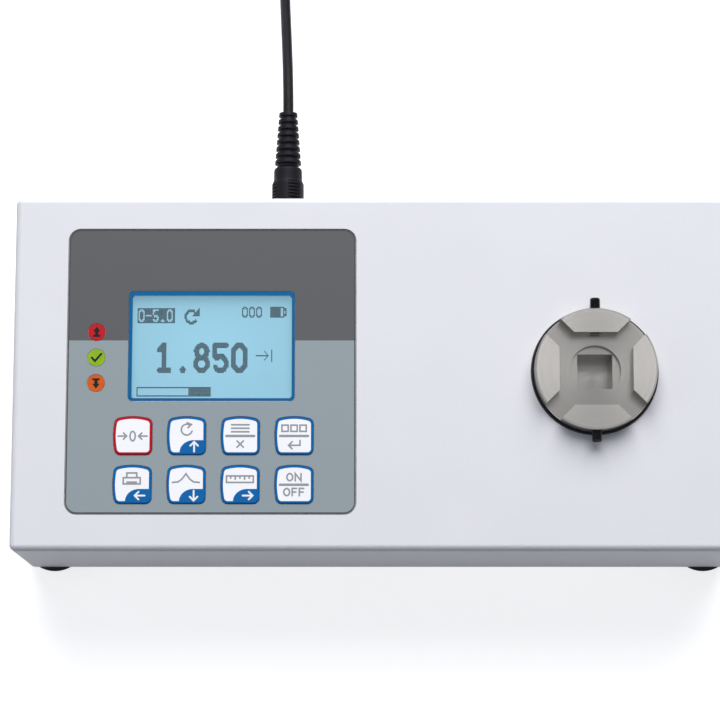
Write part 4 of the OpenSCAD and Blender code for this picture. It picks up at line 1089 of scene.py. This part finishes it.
class AddStage(bpy.types.Operator):
    """Add the white floor, the soft lights and the white surroundings"""

    bl_idname = "torque_tester.add_stage"
    bl_label = "Stage"

    def execute(self, context):
        self.floor(context)
        self.lights(context)
        self.surroundings(context)
        return {"FINISHED"}

    def seen(self, tree):
        """1 for a ray that a camera, a shiny surface or a clear one sends out, and 0 for light."""
        rays = add(tree, "ShaderNodeLightPath").outputs
        straight = reckon(tree, "MAXIMUM", rays["Is Camera Ray"], rays["Is Glossy Ray"])
        return reckon(tree, "MAXIMUM", straight, rays["Is Transmission Ray"])

    def floor(self, context):
        half = context.scene.tester_sizes.floor
        mesh = bpy.data.meshes.new("floor")
        corners = box_stroke(0, 0, 2 * half, 2 * half)[:-1]
        mesh.from_pydata([(x, y, 0) for x, y in corners], [], [(0, 1, 2, 3)])
        floor = bpy.data.objects.new("floor", mesh)
        context.scene.collection.objects.link(floor)
        # Matt white paper with a painted glow that camera and reflected rays see, so that it shows white: the
        # glow is a little less near the case, so that a shadow shows, and full far off.
        made, tree, shader = begin("white_studio_paper", (0.55, 0.55, 0.55, 1), 0.9, Specular_IOR_Level=0.0)
        apart = reckon(tree, "LENGTH", place(tree), (0, 0, 0), "VectorMath")
        glow = spread(tree, apart, 0.4, 1.4, 0.78, 1.0)
        shader.inputs["Emission Color"].default_value = (1, 1, 1, 1)
        tree.links.new(reckon(tree, "MULTIPLY", self.seen(tree), glow), shader.inputs["Emission Strength"])
        mesh.materials.append(made)

    def lights(self, context):
        # A broad soft light over the rear, and a weak one from the left that keeps the sides readable.
        for name, power, size, at, aim in (
                ("rear_softbox", 69.5, 2.1, (0.15, 1.5, 1.6), (0.05, 0.0, 0.05)),
                ("left_fill", 1.6, 0.8, (-1.3, 0.1, 0.8), (0.0, 0.0, 0.05))):
            light = bpy.data.lights.new(name, "AREA")
            light.energy = power
            light.size = size
            lamp = bpy.data.objects.new(name, light)
            lamp.location = at
            lamp.rotation_mode = "QUATERNION"
            lamp.rotation_quaternion = (Vector(aim) - Vector(at)).to_track_quat("-Z", "Y")
            context.scene.collection.objects.link(lamp)

    def surroundings(self, context):
        world = bpy.data.worlds.new("white_room")
        context.scene.world = world
        world.use_nodes = True
        tree = world.node_tree
        ground = tree.nodes["Background"]
        room_light, white = (0.122, 0.135, 0.183, 1), (1, 1, 1, 1)
        tree.links.new(blend(tree, self.seen(tree), room_light, white), ground.inputs["Color"])


STEPS = (CarryFinishes, AddCamera, AddAdapter, AddPowerLead, AddHead, AddDisplay, AddKeyPrinting,
         AddLampSymbols, AddPlug, AddStage)


class TesterPanel(bpy.types.Panel):
    """Lists the tester's sizes, colours and pieces in the sidebar."""

    bl_idname = "VIEW3D_PT_torque_tester"
    bl_label = "Torque tester"
    bl_space_type = "VIEW_3D"
    bl_region_type = "UI"
    bl_category = "Torque tester"

    def draw(self, context):
        for group in (context.scene.tester_sizes, context.scene.tester_colours):
            for name in group.bl_rna.properties.keys():
                if name not in ("rna_type", "name"):
                    self.layout.prop(group, name)
        for step in STEPS:
            self.layout.operator(step.bl_idname)


CLASSES = (TesterColours, TesterSizes) + STEPS + (TesterPanel,)


def register():
    for cls in CLASSES:
        bpy.utils.register_class(cls)
    bpy.types.Scene.tester_colours = bpy.props.PointerProperty(type=TesterColours)
    bpy.types.Scene.tester_sizes = bpy.props.PointerProperty(type=TesterSizes)


def unregister():
    del bpy.types.Scene.tester_sizes
    del bpy.types.Scene.tester_colours
    for cls in reversed(CLASSES):
        bpy.utils.unregister_class(cls)


def main():
    """Build every piece in order."""
    register()
    for step in STEPS:
        group, name = step.bl_idname.split(".")
        getattr(getattr(bpy.ops, group), name)()


if __name__ == "__main__":
    main()
